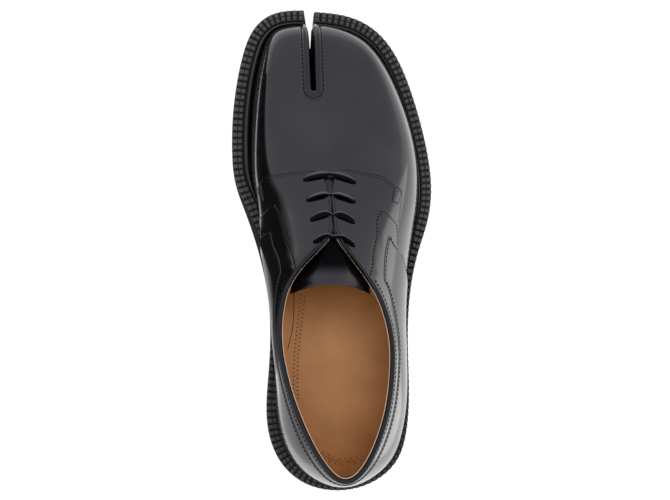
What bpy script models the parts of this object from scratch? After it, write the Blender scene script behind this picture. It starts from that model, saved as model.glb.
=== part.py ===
"""Split toe derby, the right shoe of a pair, modelled empty and standing on its sole.

The toe points to +Y and the inner (medial) side of the foot is at -X. The frame's origin is on the
floor, under the middle of the shoe. The tables and sizes are in millimetres, and every mesh is made in
metres.

The upper is one leather shell drawn on ribs. Each rib starts on the feather line, where the upper meets
the sole, and rises to the top line: the lip of the toe split, the ridge of the vamp, the edge of the
throat or the collar. Stations count the ribs round the shoe: from the mouth of the split, along the medial
side, round the heel and back along the lateral side to the mouth.
"""

import math

import bmesh
import bpy
import numpy as np

for old in list(bpy.data.objects):
    bpy.data.objects.remove(old, do_unlink=True)

MM = 0.001
SEAT_GAP = 0.5
BISECTIONS = 40

# Sole
HEEL_SEAT = 20.0
HEEL_BREAST_Y = -62.0
WAIST_BACK_Y = -54.0
HEEL_INSET = 1.2
HEEL_TAPER = 1.2
HEEL_LIFT = 6.0
HEEL_GROOVE = 0.6
TREAD_BACK_Y = 30.0
TREAD_FRONT_Y = 75.0
TOE_Y = 150.0
TOE_SPRING = 8.5
TOE_SPRING_POWER = 1.8
OUTSOLE_THICKNESS = 6.5
OUTSOLE_BEVEL = 1.2
NOTCH_APEX = (-14.0, 124.5)
SPINE_BACK = (1.6, -112.0)
WELT_THICKNESS = 4.0
WELT_RIB_PITCH = 4.3
WELT_RIB_HEIGHT = 1.3
# The valley between two ribs: place along the pitch, and depth as a share of the rib's height.
WELT_VALLEY = ((0.3, 0.0), (0.5, 1.0), (0.7, 0.0))
WELT_RIB_SHARE = 0.62
WELT_GROOVE_SHARE = 0.68
WELT_BEAD_SHARE = 0.84
WELT_PLAIN_COUNT = 76
INSOLE_THICKNESS = 3.0

# Upper
WALL = 2.0
SLIT_END_Y = 91.5
SLIT_HALF_GAP = 6.0
LIP_ROLL = 3.0
THROAT_FRONT_Y = 45.0
THROAT_TOP_Y = 7.0
THROAT_FRONT_HALF_GAP = 3.2
THROAT_TOP_HALF_GAP = 0.5

# Stations of the ribs
SLIT_END = 2.0
THROAT_FRONT = 3.5
THROAT_TOP = 4.5
HEEL_BACK = 8.5
COLLAR_TURN = 0.7
LAST_STATION = 2 * HEEL_BACK

# Outer edge of the sole, from the medial corner of the toe notch round the heel to the lateral corner.
# x, y: the outsole's edge.  shelf: bare outsole outside the welt.
# reach: from the edge in to the feather line.
SOLE_EDGE = (
    (-18.4, 149.4, 0.0, 9.3),
    (-29.0, 149.0, 0.0, 9.3),
    (-41.5, 145.2, 0.0, 9.4),
    (-50.0, 137.2, 0.0, 9.8),
    (-56.0, 123.4, 0.0, 10.2),
    (-60.0, 105.5, 0.0, 10.5),
    (-62.6, 84.0, 0.0, 11.0),
    (-63.1, 62.0, 0.0, 11.3),
    (-61.2, 42.5, 0.2, 11.3),
    (-55.4, 25.0, 2.0, 10.0),
    (-49.6, 8.5, 3.2, 7.4),
    (-44.6, -10.0, 2.8, 6.2),
    (-40.8, -32.0, 1.5, 5.6),
    (-39.8, -55.0, 0.3, 5.6),
    (-40.8, -76.0, 0.0, 6.4),
    (-42.2, -97.0, 0.0, 7.0),
    (-40.2, -116.5, 0.0, 7.5),
    (-33.8, -131.2, 0.0, 7.5),
    (-20.0, -144.0, 0.0, 7.2),
    (1.8, -149.4, 0.0, 6.8),
    (24.4, -144.0, 0.0, 6.6),
    (38.8, -131.0, 0.0, 6.4),
    (44.5, -114.0, 0.0, 5.8),
    (46.2, -94.0, 0.0, 5.0),
    (45.9, -72.0, 0.0, 4.8),
    (45.6, -49.0, 0.0, 4.8),
    (48.2, -24.0, 0.0, 4.8),
    (54.2, -1.0, 0.0, 5.6),
    (61.0, 19.5, 0.0, 8.0),
    (63.1, 37.5, 0.0, 9.3),
    (61.0, 59.0, 0.0, 8.8),
    (55.0, 84.5, 0.0, 7.8),
    (47.0, 107.8, 0.0, 7.8),
    (37.0, 126.6, 0.0, 8.4),
    (24.5, 139.2, 0.0, 8.8),
    (8.5, 146.2, 0.0, 9.1),
    (-11.8, 148.6, 0.0, 9.2),
)
HEEL_ROW = 19
HEEL_SEARCH_ROWS = 9
# The row of SOLE_EDGE, counted in fractions, where the rib of each station has its foot: station, row.
RIB_FEET = (
    (0.0, 0.28),
    (2.0, 5.2),
    (3.5, 8.4),
    (4.5, 10.5),
    (6.5, 14.8),
    (8.5, 19.0),
    (10.5, 23.2),
    (12.5, 27.3),
    (13.5, 29.5),
    (15.0, 31.6),
    (17.0, 35.86),
)
# The line over the middle of the shoe, from the mouth of the split to the top of the throat:
# station, x, y, z.
CENTRE_LINE = (
    (0.00, -15.4, 140.0, 16.0),
    (0.30, -15.4, 139.4, 26.0),
    (0.62, -15.3, 135.6, 35.5),
    (0.95, -15.3, 128.0, 42.5),
    (1.28, -15.2, 117.0, 47.0),
    (1.64, -15.0, 104.5, 50.0),
    (2.00, -14.6, 91.5, 52.5),
    (2.60, -12.4, 74.0, 56.8),
    (3.10, -9.6, 58.0, 63.0),
    (3.50, -7.6, 45.0, 70.0),
    (4.00, -6.2, 26.5, 80.5),
    (4.50, -5.8, 7.0, 92.5),
)
# The collar, from the top of the throat round the heel and back: station, x, y, z.
COLLAR = (
    (4.50, -6.3, 7.0, 92.5),
    (4.66, -16.5, -1.8, 90.6),
    (4.88, -27.5, -14.5, 86.4),
    (5.25, -34.6, -31.0, 82.0),
    (5.66, -36.4, -50.0, 79.2),
    (6.13, -33.6, -71.5, 79.0),
    (6.65, -27.2, -93.0, 80.4),
    (7.26, -17.8, -114.5, 83.8),
    (7.85, -8.2, -129.2, 87.0),
    (8.50, 1.6, -135.0, 88.0),
    (9.12, 11.2, -129.2, 87.0),
    (9.66, 19.4, -115.5, 83.6),
    (10.26, 26.8, -93.5, 79.0),
    (10.78, 29.6, -72.0, 76.8),
    (11.24, 29.0, -52.0, 77.2),
    (11.66, 23.8, -33.5, 80.4),
    (12.06, 14.8, -18.0, 85.4),
    (12.30, 4.4, -4.6, 90.2),
    (12.50, -5.3, 7.0, 92.5),
)
# How the ribs bend: station; lean, in degrees outwards at the feather line; side and crown, how far the
# two ends run straight, as a share of the rib's chord; top, in degrees of rise at the top line.
RIBS = (
    (0.0, 0.0, 0.30, 0.30, 0.0),
    (1.0, -6.0, 0.68, 0.64, 0.0),
    (2.0, -6.0, 0.70, 0.64, 0.0),
    (3.5, 6.0, 0.50, 0.50, 0.0),
    (4.0, 15.0, 0.43, 0.37, 6.0),
    (4.5, 23.0, 0.42, 0.34, 22.0),
    (5.0, 22.0, 0.42, 0.28, 50.0),
    (6.0, 9.0, 0.40, 0.28, 70.0),
    (7.2, 0.0, 0.36, 0.30, 62.0),
    (8.5, 4.0, 0.34, 0.30, 70.0),
    (9.8, 8.0, 0.36, 0.30, 60.0),
    (11.0, 12.0, 0.38, 0.28, 58.0),
    (12.0, 4.0, 0.40, 0.28, 44.0),
    (12.5, -4.0, 0.42, 0.36, 22.0),
    (13.0, -2.0, 0.46, 0.43, 6.0),
    (13.5, -1.5, 0.55, 0.55, 0.0),
    (15.0, -7.0, 0.70, 0.65, 0.0),
    (16.0, -9.5, 0.68, 0.65, 0.0),
    (17.0, 0.0, 0.30, 0.30, 0.0),
)
# Stations and heights where the shell has its ribs, for the medial half.
SHELL_STATIONS = (
    0.06, 0.16, 0.3, 0.46, 0.66, 0.88, 1.12, 1.36, 1.58, 1.76, 1.88, 1.95, 1.985, 2.0,
    2.3, 2.6, 2.9, 3.2, 3.47, 3.5, 3.75, 4.0, 4.22, 4.37, 4.5,
    4.58, 4.68, 4.8, 4.95, 5.15, 5.45, 5.8, 6.15, 6.5, 6.85, 7.2, 7.5, 7.8, 8.05, 8.28, 8.5,
)
SHELL_HEIGHTS = (0.0, 0.12, 0.25, 0.38, 0.51, 0.63, 0.75, 0.87, 1.0)
ROLL_ANGLES = (30.0, 60.0, 90.0)
CLEFT_SHARES = (0.5, 1.0)

# Panels laid on the upper.  Each row is a strip from the panel's first edge to its second: station and
# height on the first edge, station and height on the second.
FACING_MEDIAL = (
    (3.57, 0.30, 4.04, 0.26),
    (3.46, 0.43, 3.99, 0.37),
    (3.37, 0.60, 3.94, 0.47),
    (3.36, 0.79, 3.885, 0.56),
    (3.41, 0.94, 3.99, 0.585),
    (3.51, 0.935, 4.10, 0.605),
    (3.80, 0.96, 4.24, 0.63),
    (4.15, 0.975, 4.37, 0.655),
    (4.48, 0.975, 4.53, 0.715),
    (4.66, 0.98, 4.70, 0.835),
    (4.80, 0.98, 4.82, 0.96),
)
FACING_LATERAL = (
    (13.19, 0.52, 12.67, 0.515),
    (13.30, 0.63, 12.75, 0.57),
    (13.39, 0.70, 12.84, 0.64),
    (13.46, 0.79, 12.925, 0.705),
    (13.55, 0.945, 12.84, 0.725),
    (13.49, 0.94, 12.75, 0.74),
    (13.20, 0.965, 12.64, 0.742),
    (12.85, 0.98, 12.53, 0.742),
    (12.52, 0.98, 12.36, 0.80),
    (12.34, 0.98, 12.21, 0.88),
    (12.13, 0.98, 12.11, 0.955),
)
COLLAR_PANEL = (
    (4.075, 0.26, 4.33, 0.27),
    (3.995, 0.41, 4.295, 0.38),
    (3.92, 0.545, 4.27, 0.475),
    (4.13, 0.595, 4.38, 0.50),
    (4.37, 0.635, 4.52, 0.54),
    (4.55, 0.70, 4.68, 0.64),
    (4.72, 0.83, 4.80, 0.735),
    (4.85, 0.975, 4.895, 0.805),
    (5.05, 0.98, 5.08, 0.81),
    (5.40, 0.98, 5.42, 0.815),
    (6.00, 0.98, 6.00, 0.825),
    (6.80, 0.98, 6.80, 0.835),
    (7.60, 0.98, 7.60, 0.84),
    (8.50, 0.98, 8.50, 0.845),
    (9.40, 0.98, 9.40, 0.84),
    (10.20, 0.98, 10.20, 0.835),
    (11.00, 0.98, 11.00, 0.81),
    (11.55, 0.98, 11.50, 0.785),
    (11.90, 0.98, 11.85, 0.79),
    (12.08, 0.975, 11.99, 0.82),
    (12.18, 0.87, 12.08, 0.78),
    (12.345, 0.785, 12.18, 0.735),
    (12.53, 0.725, 12.33, 0.68),
    (12.74, 0.722, 12.455, 0.64),
    (12.875, 0.69, 12.555, 0.62),
    (12.775, 0.615, 12.455, 0.56),
    (12.635, 0.525, 12.36, 0.495),
)
COUNTER = (
    (4.35, 0.29, 4.45, 0.245),
    (4.325, 0.38, 4.52, 0.235),
    (4.305, 0.46, 4.62, 0.215),
    (4.40, 0.485, 4.73, 0.19),
    (4.54, 0.525, 4.84, 0.165),
    (4.70, 0.625, 4.95, 0.14),
    (4.82, 0.72, 5.05, 0.12),
    (4.91, 0.785, 5.15, 0.11),
    (5.08, 0.79, 5.28, 0.105),
    (5.42, 0.795, 5.50, 0.10),
    (6.00, 0.805, 6.00, 0.10),
    (6.80, 0.815, 6.80, 0.10),
    (7.60, 0.82, 7.60, 0.10),
    (8.50, 0.825, 8.50, 0.10),
    (9.40, 0.82, 9.40, 0.10),
    (10.20, 0.815, 10.20, 0.10),
    (11.00, 0.79, 10.90, 0.10),
    (11.50, 0.765, 11.40, 0.105),
    (11.84, 0.77, 11.62, 0.11),
    (11.97, 0.795, 11.74, 0.12),
    (12.06, 0.76, 11.83, 0.165),
    (12.165, 0.715, 11.92, 0.225),
    (12.31, 0.66, 12.01, 0.295),
    (12.44, 0.62, 12.09, 0.355),
    (12.50, 0.607, 12.16, 0.40),
    (12.415, 0.58, 12.23, 0.43),
    (12.345, 0.53, 12.26, 0.445),
)
PANEL_STRIP = 0.2
PANEL_GAP = 0.6
FACING_THICKNESS = 1.2
COLLAR_PANEL_THICKNESS = 1.5
COUNTER_THICKNESS = 1.9

# The tongue, from under the vamp to its free end: y, x and z of its middle, half its width, droop of its
# sides.
TONGUE = (
    (47.0, -8.0, 66.1, 15.0, 6.5),
    (36.0, -6.9, 72.1, 18.0, 8.5),
    (26.0, -6.2, 77.6, 19.0, 9.5),
    (16.0, -6.0, 82.8, 20.0, 13.5),
    (7.0, -5.9, 87.4, 20.5, 16.0),
    (-2.0, -6.2, 90.2, 21.0, 18.5),
    (-10.0, -6.6, 94.0, 21.5, 20.5),
    (-20.7, -7.0, 98.6, 22.5, 20.0),
)
TONGUE_THICKNESS = 2.0
TONGUE_DROOP_POWER = 1.8
TONGUE_END_SWEEP = 6.0

# The lace's straight runs: station and height of the medial hole, station and height of the lateral hole.
LACE_BARS = (
    (3.54, 0.82, 13.32, 0.855),
    (3.90, 0.835, 13.01, 0.87),
    (4.23, 0.85, 12.715, 0.88),
    (4.54, 0.90, 12.42, 0.92),
)
LACE_DIAMETER = 2.4
LACE_SIDES = 8
LACE_CELLS = 10
LACE_BOW = 0.09

# Mesh cells of each piece.
OUTSOLE_CELLS = (8, 26)
INSOLE_CELLS = (14, 24)
INSOLE_CLEARANCE = 0.9
HEEL_CELLS = 28
TONGUE_CELLS = (8, 10)
FACING_CELLS = 6
COLLAR_PANEL_CELLS = 4
COUNTER_CELLS = 6

# Looks: base colour, roughness, metallic.
LOOKS = {
    "outsole": ((0.020, 0.019, 0.018), 0.62, 0.0),
    "heel": ((0.020, 0.019, 0.018), 0.62, 0.0),
    "welt": ((0.028, 0.024, 0.022), 0.50, 0.0),
    "insole": ((0.52, 0.33, 0.16), 0.55, 0.0),
    "upper": ((0.012, 0.011, 0.011), 0.28, 0.0),
    "tongue": ((0.012, 0.011, 0.011), 0.34, 0.0),
    "panel": ((0.012, 0.011, 0.011), 0.28, 0.0),
    "lace": ((0.015, 0.015, 0.015), 0.70, 0.0),
}


def natural_spline(table):
    """A smooth function through the rows of a table, whose first column is the place along the curve."""
    table = np.asarray(table, float)
    knots, rows = table[:, 0], table[:, 1:]
    count = len(knots)
    span = np.diff(knots)
    system = np.eye(count)
    right = np.zeros_like(rows)
    for i in range(1, count - 1):
        system[i, i - 1 : i + 2] = span[i - 1], 2 * (span[i - 1] + span[i]), span[i]
        right[i] = 6 * ((rows[i + 1] - rows[i]) / span[i] - (rows[i] - rows[i - 1]) / span[i - 1])
    bend = np.linalg.solve(system, right)

    def at(place):
        i = min(max(int(np.searchsorted(knots, place)) - 1, 0), count - 2)
        a = (knots[i + 1] - place) / span[i]
        b = 1 - a
        curve = (a**3 - a) * bend[i] + (b**3 - b) * bend[i + 1]
        return a * rows[i] + b * rows[i + 1] + curve * span[i] ** 2 / 6

    return at


def unit(v):
    return v / max(np.linalg.norm(v), 1e-9)


def smoothstep(t):
    t = min(max(t, 0.0), 1.0)
    return t * t * (3 - 2 * t)


def mix(a, b, t):
    return a + (b - a) * t


def underside(y):
    """Height of the outsole's underside: flat tread, a waist that rises to the heel seat, the toe spring."""
    waist = HEEL_SEAT * smoothstep((TREAD_BACK_Y - y) / (TREAD_BACK_Y - WAIST_BACK_Y))
    spring = TOE_SPRING * max(0.0, (y - TREAD_FRONT_Y) / (TOE_Y - TREAD_FRONT_Y)) ** TOE_SPRING_POWER
    return waist + spring


def feather_z(y):
    return underside(y) + OUTSOLE_THICKNESS + SEAT_GAP


EDGE_TABLE = np.array(SOLE_EDGE)
EDGE_STEPS = np.linalg.norm(np.diff(EDGE_TABLE[:, :2], axis=0), axis=1)
EDGE_LENGTHS = np.concatenate([[0], np.cumsum(EDGE_STEPS)])
EDGE_END = float(EDGE_LENGTHS[-1])
EDGE_HEEL = float(EDGE_LENGTHS[HEEL_ROW])
EDGE = natural_spline(np.column_stack([EDGE_LENGTHS, EDGE_TABLE]))
FEET_TABLE = np.array(RIB_FEET)
FEET_TABLE[:, 1] = np.interp(FEET_TABLE[:, 1], np.arange(len(EDGE_TABLE)), EDGE_LENGTHS)
FOOT_LENGTH = natural_spline(FEET_TABLE)
CENTRE = natural_spline(CENTRE_LINE)
COLLAR_LINE = natural_spline(COLLAR)
RIB_SHAPE = natural_spline(RIBS)


def edge_inward(s):
    """Unit vector in plan that points from the sole's edge to its inside."""
    step = 0.5
    along = unit(EDGE(s + step)[:2] - EDGE(s - step)[:2])
    return np.array([-along[1], along[0]])


def edge_point(s, inset):
    return EDGE(s)[:2] + edge_inward(s) * inset


def side_of(w):
    return -1.0 if w < HEEL_BACK else 1.0


def half_station(w):
    return min(w, LAST_STATION - w)


def half_gap(q, y):
    """Half the opening over the centre line: the toe split, then closed leather, then the throat."""
    if q < SLIT_END:
        into = min((y - SLIT_END_Y) / SLIT_HALF_GAP, 1.0)
        return SLIT_HALF_GAP * math.sqrt(max(0.0, 1 - (1 - into) ** 2))
    if q < THROAT_FRONT:
        return 0.0
    share = smoothstep((y - THROAT_TOP_Y) / (THROAT_FRONT_Y - THROAT_TOP_Y)) ** 2
    return mix(THROAT_TOP_HALF_GAP, THROAT_FRONT_HALF_GAP, share)


def top_point(w):
    return COLLAR_LINE(w) if half_station(w) >= THROAT_TOP else CENTRE(half_station(w))


def top_inward(w):
    """Unit vector in plan, square to the top line, that points from the leather to the opening."""
    step = 0.01
    q = half_station(w)
    line_q = min(q, THROAT_TOP)
    along = unit((CENTRE(line_q) - CENTRE(line_q - step))[:2])
    over_ridge = side_of(w) * np.array([along[1], -along[0], 0])
    if q <= THROAT_TOP:
        return over_ridge
    along = unit((COLLAR_LINE(w + step) - COLLAR_LINE(w - step))[:2])
    into_collar = np.array([-along[1], along[0], 0])
    return unit(mix(over_ridge, into_collar, smoothstep((q - THROAT_TOP) / COLLAR_TURN)))


def foot_point(w):
    s = float(FOOT_LENGTH(w)[0])
    foot = edge_point(s, EDGE(s)[3])
    return np.array([foot[0], foot[1], feather_z(foot[1])]), edge_inward(s)


def upper_point(w, t):
    """A point of the upper's outer face: t is 0 on the feather line, 1 on the centre line or the collar."""
    foot, inward = foot_point(w)
    top = top_point(w)
    lean, side, crown, rise = RIB_SHAPE(w)
    chord = np.linalg.norm(top - foot)
    lean, rise = math.radians(lean), math.radians(rise)
    up_wall = np.array([*(-inward * math.sin(lean)), math.cos(lean)])
    over = top_inward(w) * math.cos(rise) + np.array([0, 0, math.sin(rise)])
    low = foot + up_wall * side * chord
    high = top - over * crown * chord
    u = 1 - t
    return u**3 * foot + 3 * u * u * t * low + 3 * u * t * t * high + t**3 * top


def upper_normal(w, t):
    """Outward unit normal of the upper's outer face."""
    step_w, step_t = 0.01, 0.005
    low_t, high_t = max(t - step_t, 0.0), min(t + step_t, 1.0)
    along = upper_point(w + step_w, t) - upper_point(w - step_w, t)
    rising = upper_point(w, high_t) - upper_point(w, low_t)
    return unit(np.cross(along, rising))


def add_part(name, build, look):
    """Turn a bmesh, drawn in millimetres, into a named object with a material of its own."""
    bmesh.ops.scale(build, vec=(MM, MM, MM), verts=build.verts)
    mesh = bpy.data.meshes.new(name)
    build.to_mesh(mesh)
    build.free()
    colour, roughness, metallic = LOOKS[look]
    made = bpy.data.materials.new(name)
    made.use_nodes = True
    shader = made.node_tree.nodes["Principled BSDF"]
    shader.inputs["Base Color"].default_value = (*colour, 1)
    shader.inputs["Roughness"].default_value = roughness
    shader.inputs["Metallic"].default_value = metallic
    mesh.materials.append(made)
    part = bpy.data.objects.new(name, mesh)
    bpy.context.scene.collection.objects.link(part)
    return part


def thicken(part, thickness, outwards):
    """Give a sheet, whose faces look outwards, its real thickness."""
    solidify = part.modifiers.new("thickness", "SOLIDIFY")
    solidify.thickness = thickness * MM
    solidify.offset = 1.0 if outwards else -1.0
    solidify.use_rim = True


def close_and_add(name, build, look):
    bmesh.ops.recalc_face_normals(build, faces=build.faces)
    return add_part(name, build, look)


def plate(name, outline, notch, spine, layers, cells, look):
    """A curved plate with a notch at the toe, drawn as strips from its outline to the notch and the spine.

    outline(share, side, inset) runs from the notch's corner to the back of the heel.  notch(share, side) and
    spine(share) carry the inner ends of the strips.  layers: inset and height function, from the bottom up.
    """
    notch_cells, spine_cells = cells
    count = notch_cells + spine_cells
    build = bmesh.new()
    made = {}

    def vert(layer, kind, side, i):
        if kind == "inner" and i == 0:
            kind = "outer"
        if (kind == "outer" and i == count) or (kind == "inner" and i >= notch_cells):
            side = 0
        key = (layer, kind, side, i)
        if key not in made:
            inset, height = layers[layer]
            if kind == "outer":
                x, y = outline(i / count, side or 1, inset)
            elif i < notch_cells:
                x, y = notch(i / notch_cells, side)
            else:
                x, y = spine((i - notch_cells) / spine_cells)
            made[key] = build.verts.new((x, y, height(y)))
        return made[key]

    last = len(layers) - 1
    for side in (-1, 1):
        for i in range(count):
            for layer in (0, last):
                ring = [vert(layer, "outer", side, i), vert(layer, "outer", side, i + 1)]
                ring += [vert(layer, "inner", side, i + 1)]
                if i > 0:
                    ring += [vert(layer, "inner", side, i)]
                build.faces.new(ring)
            for layer in range(last):
                low = [vert(layer, "outer", side, i), vert(layer, "outer", side, i + 1)]
                high = [vert(layer + 1, "outer", side, i + 1), vert(layer + 1, "outer", side, i)]
                build.faces.new(low + high)
        for i in range(notch_cells):
            wall = [vert(0, "inner", side, i + 1), vert(last, "inner", side, i + 1)]
            start = [vert(layer, "inner", side, i) for layer in range(last, -1, -1)]
            build.faces.new(wall + (start if i == 0 else [start[0], start[-1]]))
    return close_and_add(name, build, look)


def edge_length(share, side):
    return share * EDGE_HEEL if side < 0 else EDGE_END - share * (EDGE_END - EDGE_HEEL)


def make_outsole():
    corner = {side: edge_point(edge_length(0, side), 0) for side in (-1, 1)}
    apex, back = np.array(NOTCH_APEX), np.array(SPINE_BACK)
    notch_share = OUTSOLE_CELLS[0] / sum(OUTSOLE_CELLS)

    def spine(share):
        if share == 0:
            return apex
        edge_share = mix(notch_share, 1.0, share)
        y = np.mean([edge_point(edge_length(edge_share, side), 0)[1] for side in (-1, 1)])
        return mix(apex, back, min((apex[1] - y) / (apex[1] - back[1]), 1.0))

    layers = [
        (OUTSOLE_BEVEL, underside),
        (0.0, lambda y: underside(y) + OUTSOLE_BEVEL),
        (0.0, lambda y: underside(y) + OUTSOLE_THICKNESS),
    ]
    plate(
        "outsole",
        lambda share, side, inset: edge_point(edge_length(share, side), inset),
        lambda share, side: mix(corner[side], apex, share),
        spine,
        layers,
        OUTSOLE_CELLS,
        "outsole",
    )


def make_insole():
    clear = WALL + INSOLE_CLEARANCE
    half = SLIT_HALF_GAP - LIP_ROLL + clear + INSOLE_CLEARANCE
    end_y = SLIT_END_Y - INSOLE_CLEARANCE
    ends = {-1: RIB_FEET[0][0], 1: RIB_FEET[-1][0]}
    back = np.array(SPINE_BACK)

    def outline(share, side, inset):
        w = mix(ends[side], HEEL_BACK, share)
        s = float(FOOT_LENGTH(w)[0])
        point = edge_point(s, EDGE(s)[3] + clear + inset)
        if share == 0:
            point[0] = CENTRE(0)[0] + side * half
        return point

    def notch(share, side):
        front_y = outline(0, side, 0)[1]
        y = mix(front_y, end_y, share)
        centre = CENTRE(SLIT_END * share)[0]
        into = min((y - end_y) / half, 1.0)
        return np.array([centre + side * half * math.sqrt(max(0.0, 1 - (1 - into) ** 2)), y])

    front = np.array([CENTRE(SLIT_END)[0], end_y])
    notch_share = INSOLE_CELLS[0] / sum(INSOLE_CELLS)

    def spine(share):
        if share == 0:
            return front
        edge_share = mix(notch_share, 1.0, share)
        y = np.mean([outline(edge_share, side, 0)[1] for side in (-1, 1)])
        return mix(front, back, min((front[1] - y) / (front[1] - back[1]), 1.0))

    layers = [(0.0, feather_z), (0.0, lambda y: feather_z(y) + INSOLE_THICKNESS)]
    plate("insole", outline, notch, spine, layers, INSOLE_CELLS, "insole")


def edge_length_at_y(y, low, high):
    """The place on the sole's edge, between two places, where the edge crosses y."""
    for _ in range(BISECTIONS):
        middle = (low + high) / 2
        if (EDGE(middle)[1] - y) * (EDGE(low)[1] - y) > 0:
            low = middle
        else:
            high = middle
    return low


def make_heel():
    start = edge_length_at_y(HEEL_BREAST_Y, EDGE_LENGTHS[HEEL_ROW - HEEL_SEARCH_ROWS], EDGE_HEEL)
    end = edge_length_at_y(HEEL_BREAST_Y, EDGE_LENGTHS[HEEL_ROW + HEEL_SEARCH_ROWS], EDGE_HEEL)
    places = np.linspace(start, end, HEEL_CELLS + 1)
    height = HEEL_SEAT - SEAT_GAP
    groove_top = HEEL_LIFT + 2 * HEEL_GROOVE
    rings = [
        (0.0, HEEL_INSET + HEEL_TAPER + HEEL_GROOVE),
        (HEEL_GROOVE, HEEL_INSET + HEEL_TAPER),
        (HEEL_LIFT - HEEL_GROOVE, HEEL_INSET + HEEL_TAPER),
        (HEEL_LIFT, HEEL_INSET + HEEL_TAPER + HEEL_GROOVE),
        (HEEL_LIFT + HEEL_GROOVE, HEEL_INSET + HEEL_TAPER + HEEL_GROOVE),
        (groove_top, HEEL_INSET + HEEL_TAPER),
        (height, HEEL_INSET),
    ]
    build = bmesh.new()
    loops = []
    for z, inset in rings:
        loop = []
        for s in places:
            x, y = edge_point(s, inset)
            loop.append(build.verts.new((x, min(y, HEEL_BREAST_Y), z)))
        loops.append(loop)
    for low, high in zip(loops, loops[1:]):
        for i in range(len(low)):
            j = (i + 1) % len(low)
            build.faces.new((low[i], low[j], high[j], high[i]))
    build.faces.new(loops[0])
    build.faces.new(loops[-1])
    close_and_add("heel", build, "heel")


def zip_strip(build, line_a, places_a, line_b, places_b):
    """Triangles between two lines of vertices with different counts, led by their places along the edge."""
    i = j = 0
    while i < len(line_a) - 1 or j < len(line_b) - 1:
        at_end_b = j == len(line_b) - 1
        if at_end_b or (i < len(line_a) - 1 and places_a[i + 1] <= places_b[j + 1]):
            build.faces.new((line_a[i], line_a[i + 1], line_b[j]))
            i += 1
        else:
            build.faces.new((line_a[i], line_b[j + 1], line_b[j]))
            j += 1


def strip(build, line_a, line_b):
    for i in range(len(line_a) - 1):
        build.faces.new((line_a[i], line_a[i + 1], line_b[i + 1], line_b[i]))


def make_welt():
    """The notched strip round the upper: ribs on its outer part, a groove, then a plain bead at the upper."""
    build = bmesh.new()

    def welt_point(s, share, rise):
        shelf, reach = EDGE(s)[2:]
        lean = math.radians(max(RIB_SHAPE(station_at(s))[0], 0.0))
        room = reach - shelf - SEAT_GAP - WELT_THICKNESS * math.tan(lean)
        point = edge_point(s, shelf + share * room)
        return build.verts.new((*point, underside(point[1]) + OUTSOLE_THICKNESS + SEAT_GAP + rise))

    ribs = int(EDGE_END / WELT_RIB_PITCH)
    rib_places, rib_rises = [0.0], [WELT_THICKNESS]
    for k in range(ribs):
        for place, depth in WELT_VALLEY:
            rib_places.append((k + place) * EDGE_END / ribs)
            rib_rises.append(WELT_THICKNESS - depth * WELT_RIB_HEIGHT)
    rib_places.append(EDGE_END)
    rib_rises.append(WELT_THICKNESS)
    plain = np.linspace(0, EDGE_END, WELT_PLAIN_COUNT + 1)
    floor = WELT_THICKNESS - WELT_RIB_HEIGHT
    outer_low = [welt_point(s, 0, 0) for s in plain]
    outer_high = [welt_point(s, 0, rise) for s, rise in zip(rib_places, rib_rises)]
    rib_end = [welt_point(s, WELT_RIB_SHARE, rise) for s, rise in zip(rib_places, rib_rises)]
    groove = [welt_point(s, WELT_GROOVE_SHARE, floor) for s in plain]
    bead = [welt_point(s, WELT_BEAD_SHARE, WELT_THICKNESS) for s in plain]
    inner_high = [welt_point(s, 1, floor) for s in plain]
    inner_low = [welt_point(s, 1, 0) for s in plain]
    zip_strip(build, outer_low, plain, outer_high, rib_places)
    strip(build, outer_high, rib_end)
    zip_strip(build, rib_end, rib_places, groove, plain)
    plain_lines = (groove, bead, inner_high, inner_low, outer_low)
    for line_a, line_b in zip(plain_lines, plain_lines[1:]):
        strip(build, line_a, line_b)
    lines = (outer_low, outer_high, rib_end, groove, bead, inner_high, inner_low)
    for end in (0, -1):
        build.faces.new([line[end] for line in lines])
    close_and_add("welt", build, "welt")


def station_at(s):
    """The station whose rib has its foot at this place on the sole's edge."""
    low, high = 0.0, LAST_STATION
    for _ in range(BISECTIONS):
        middle = (low + high) / 2
        if FOOT_LENGTH(middle)[0] < s:
            low = middle
        else:
            high = middle
    return low


def edge_height(w):
    """How far up its rib the leather reaches before the toe split or the throat opens."""
    q = half_station(w)
    if q >= THROAT_TOP or SLIT_END <= q < THROAT_FRONT:
        return 1.0
    low, high = 0.0, 1.0
    for _ in range(BISECTIONS):
        middle = (low + high) / 2
        x, y, _ = upper_point(w, middle)
        if abs(x - CENTRE(q)[0]) > half_gap(q, y):
            low = middle
        else:
            high = middle
    return low


def lip_points(w):
    """The rolled lip of the toe split at one station, and the gusset wall below it to the feather line."""
    q = half_station(w)
    t = edge_height(w)
    top = upper_point(w, t)
    normal = upper_normal(w, t) if q < SLIT_END else upper_normal(w, 1.0 - 1e-3)
    round_y = SLIT_END_Y + SLIT_HALF_GAP
    inward = np.array([-side_of(w), 0.0, 0.0])
    if q == SLIT_END:
        inward = np.array([0.0, 1.0, 0.0])
    elif top[1] < round_y:
        inward = unit(np.array([CENTRE(q)[0] - top[0], round_y - top[1], 0.0]))
    inward = unit(inward - normal * np.dot(inward, normal))
    points = []
    for angle in ROLL_ANGLES:
        a = math.radians(angle)
        points.append(top + LIP_ROLL * (inward * math.sin(a) - normal * (1 - math.cos(a))))
    edge = points[-1]
    floor = np.array([edge[0], edge[1], feather_z(edge[1])])
    return points + [mix(edge, floor, share) for share in CLEFT_SHARES]


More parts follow.
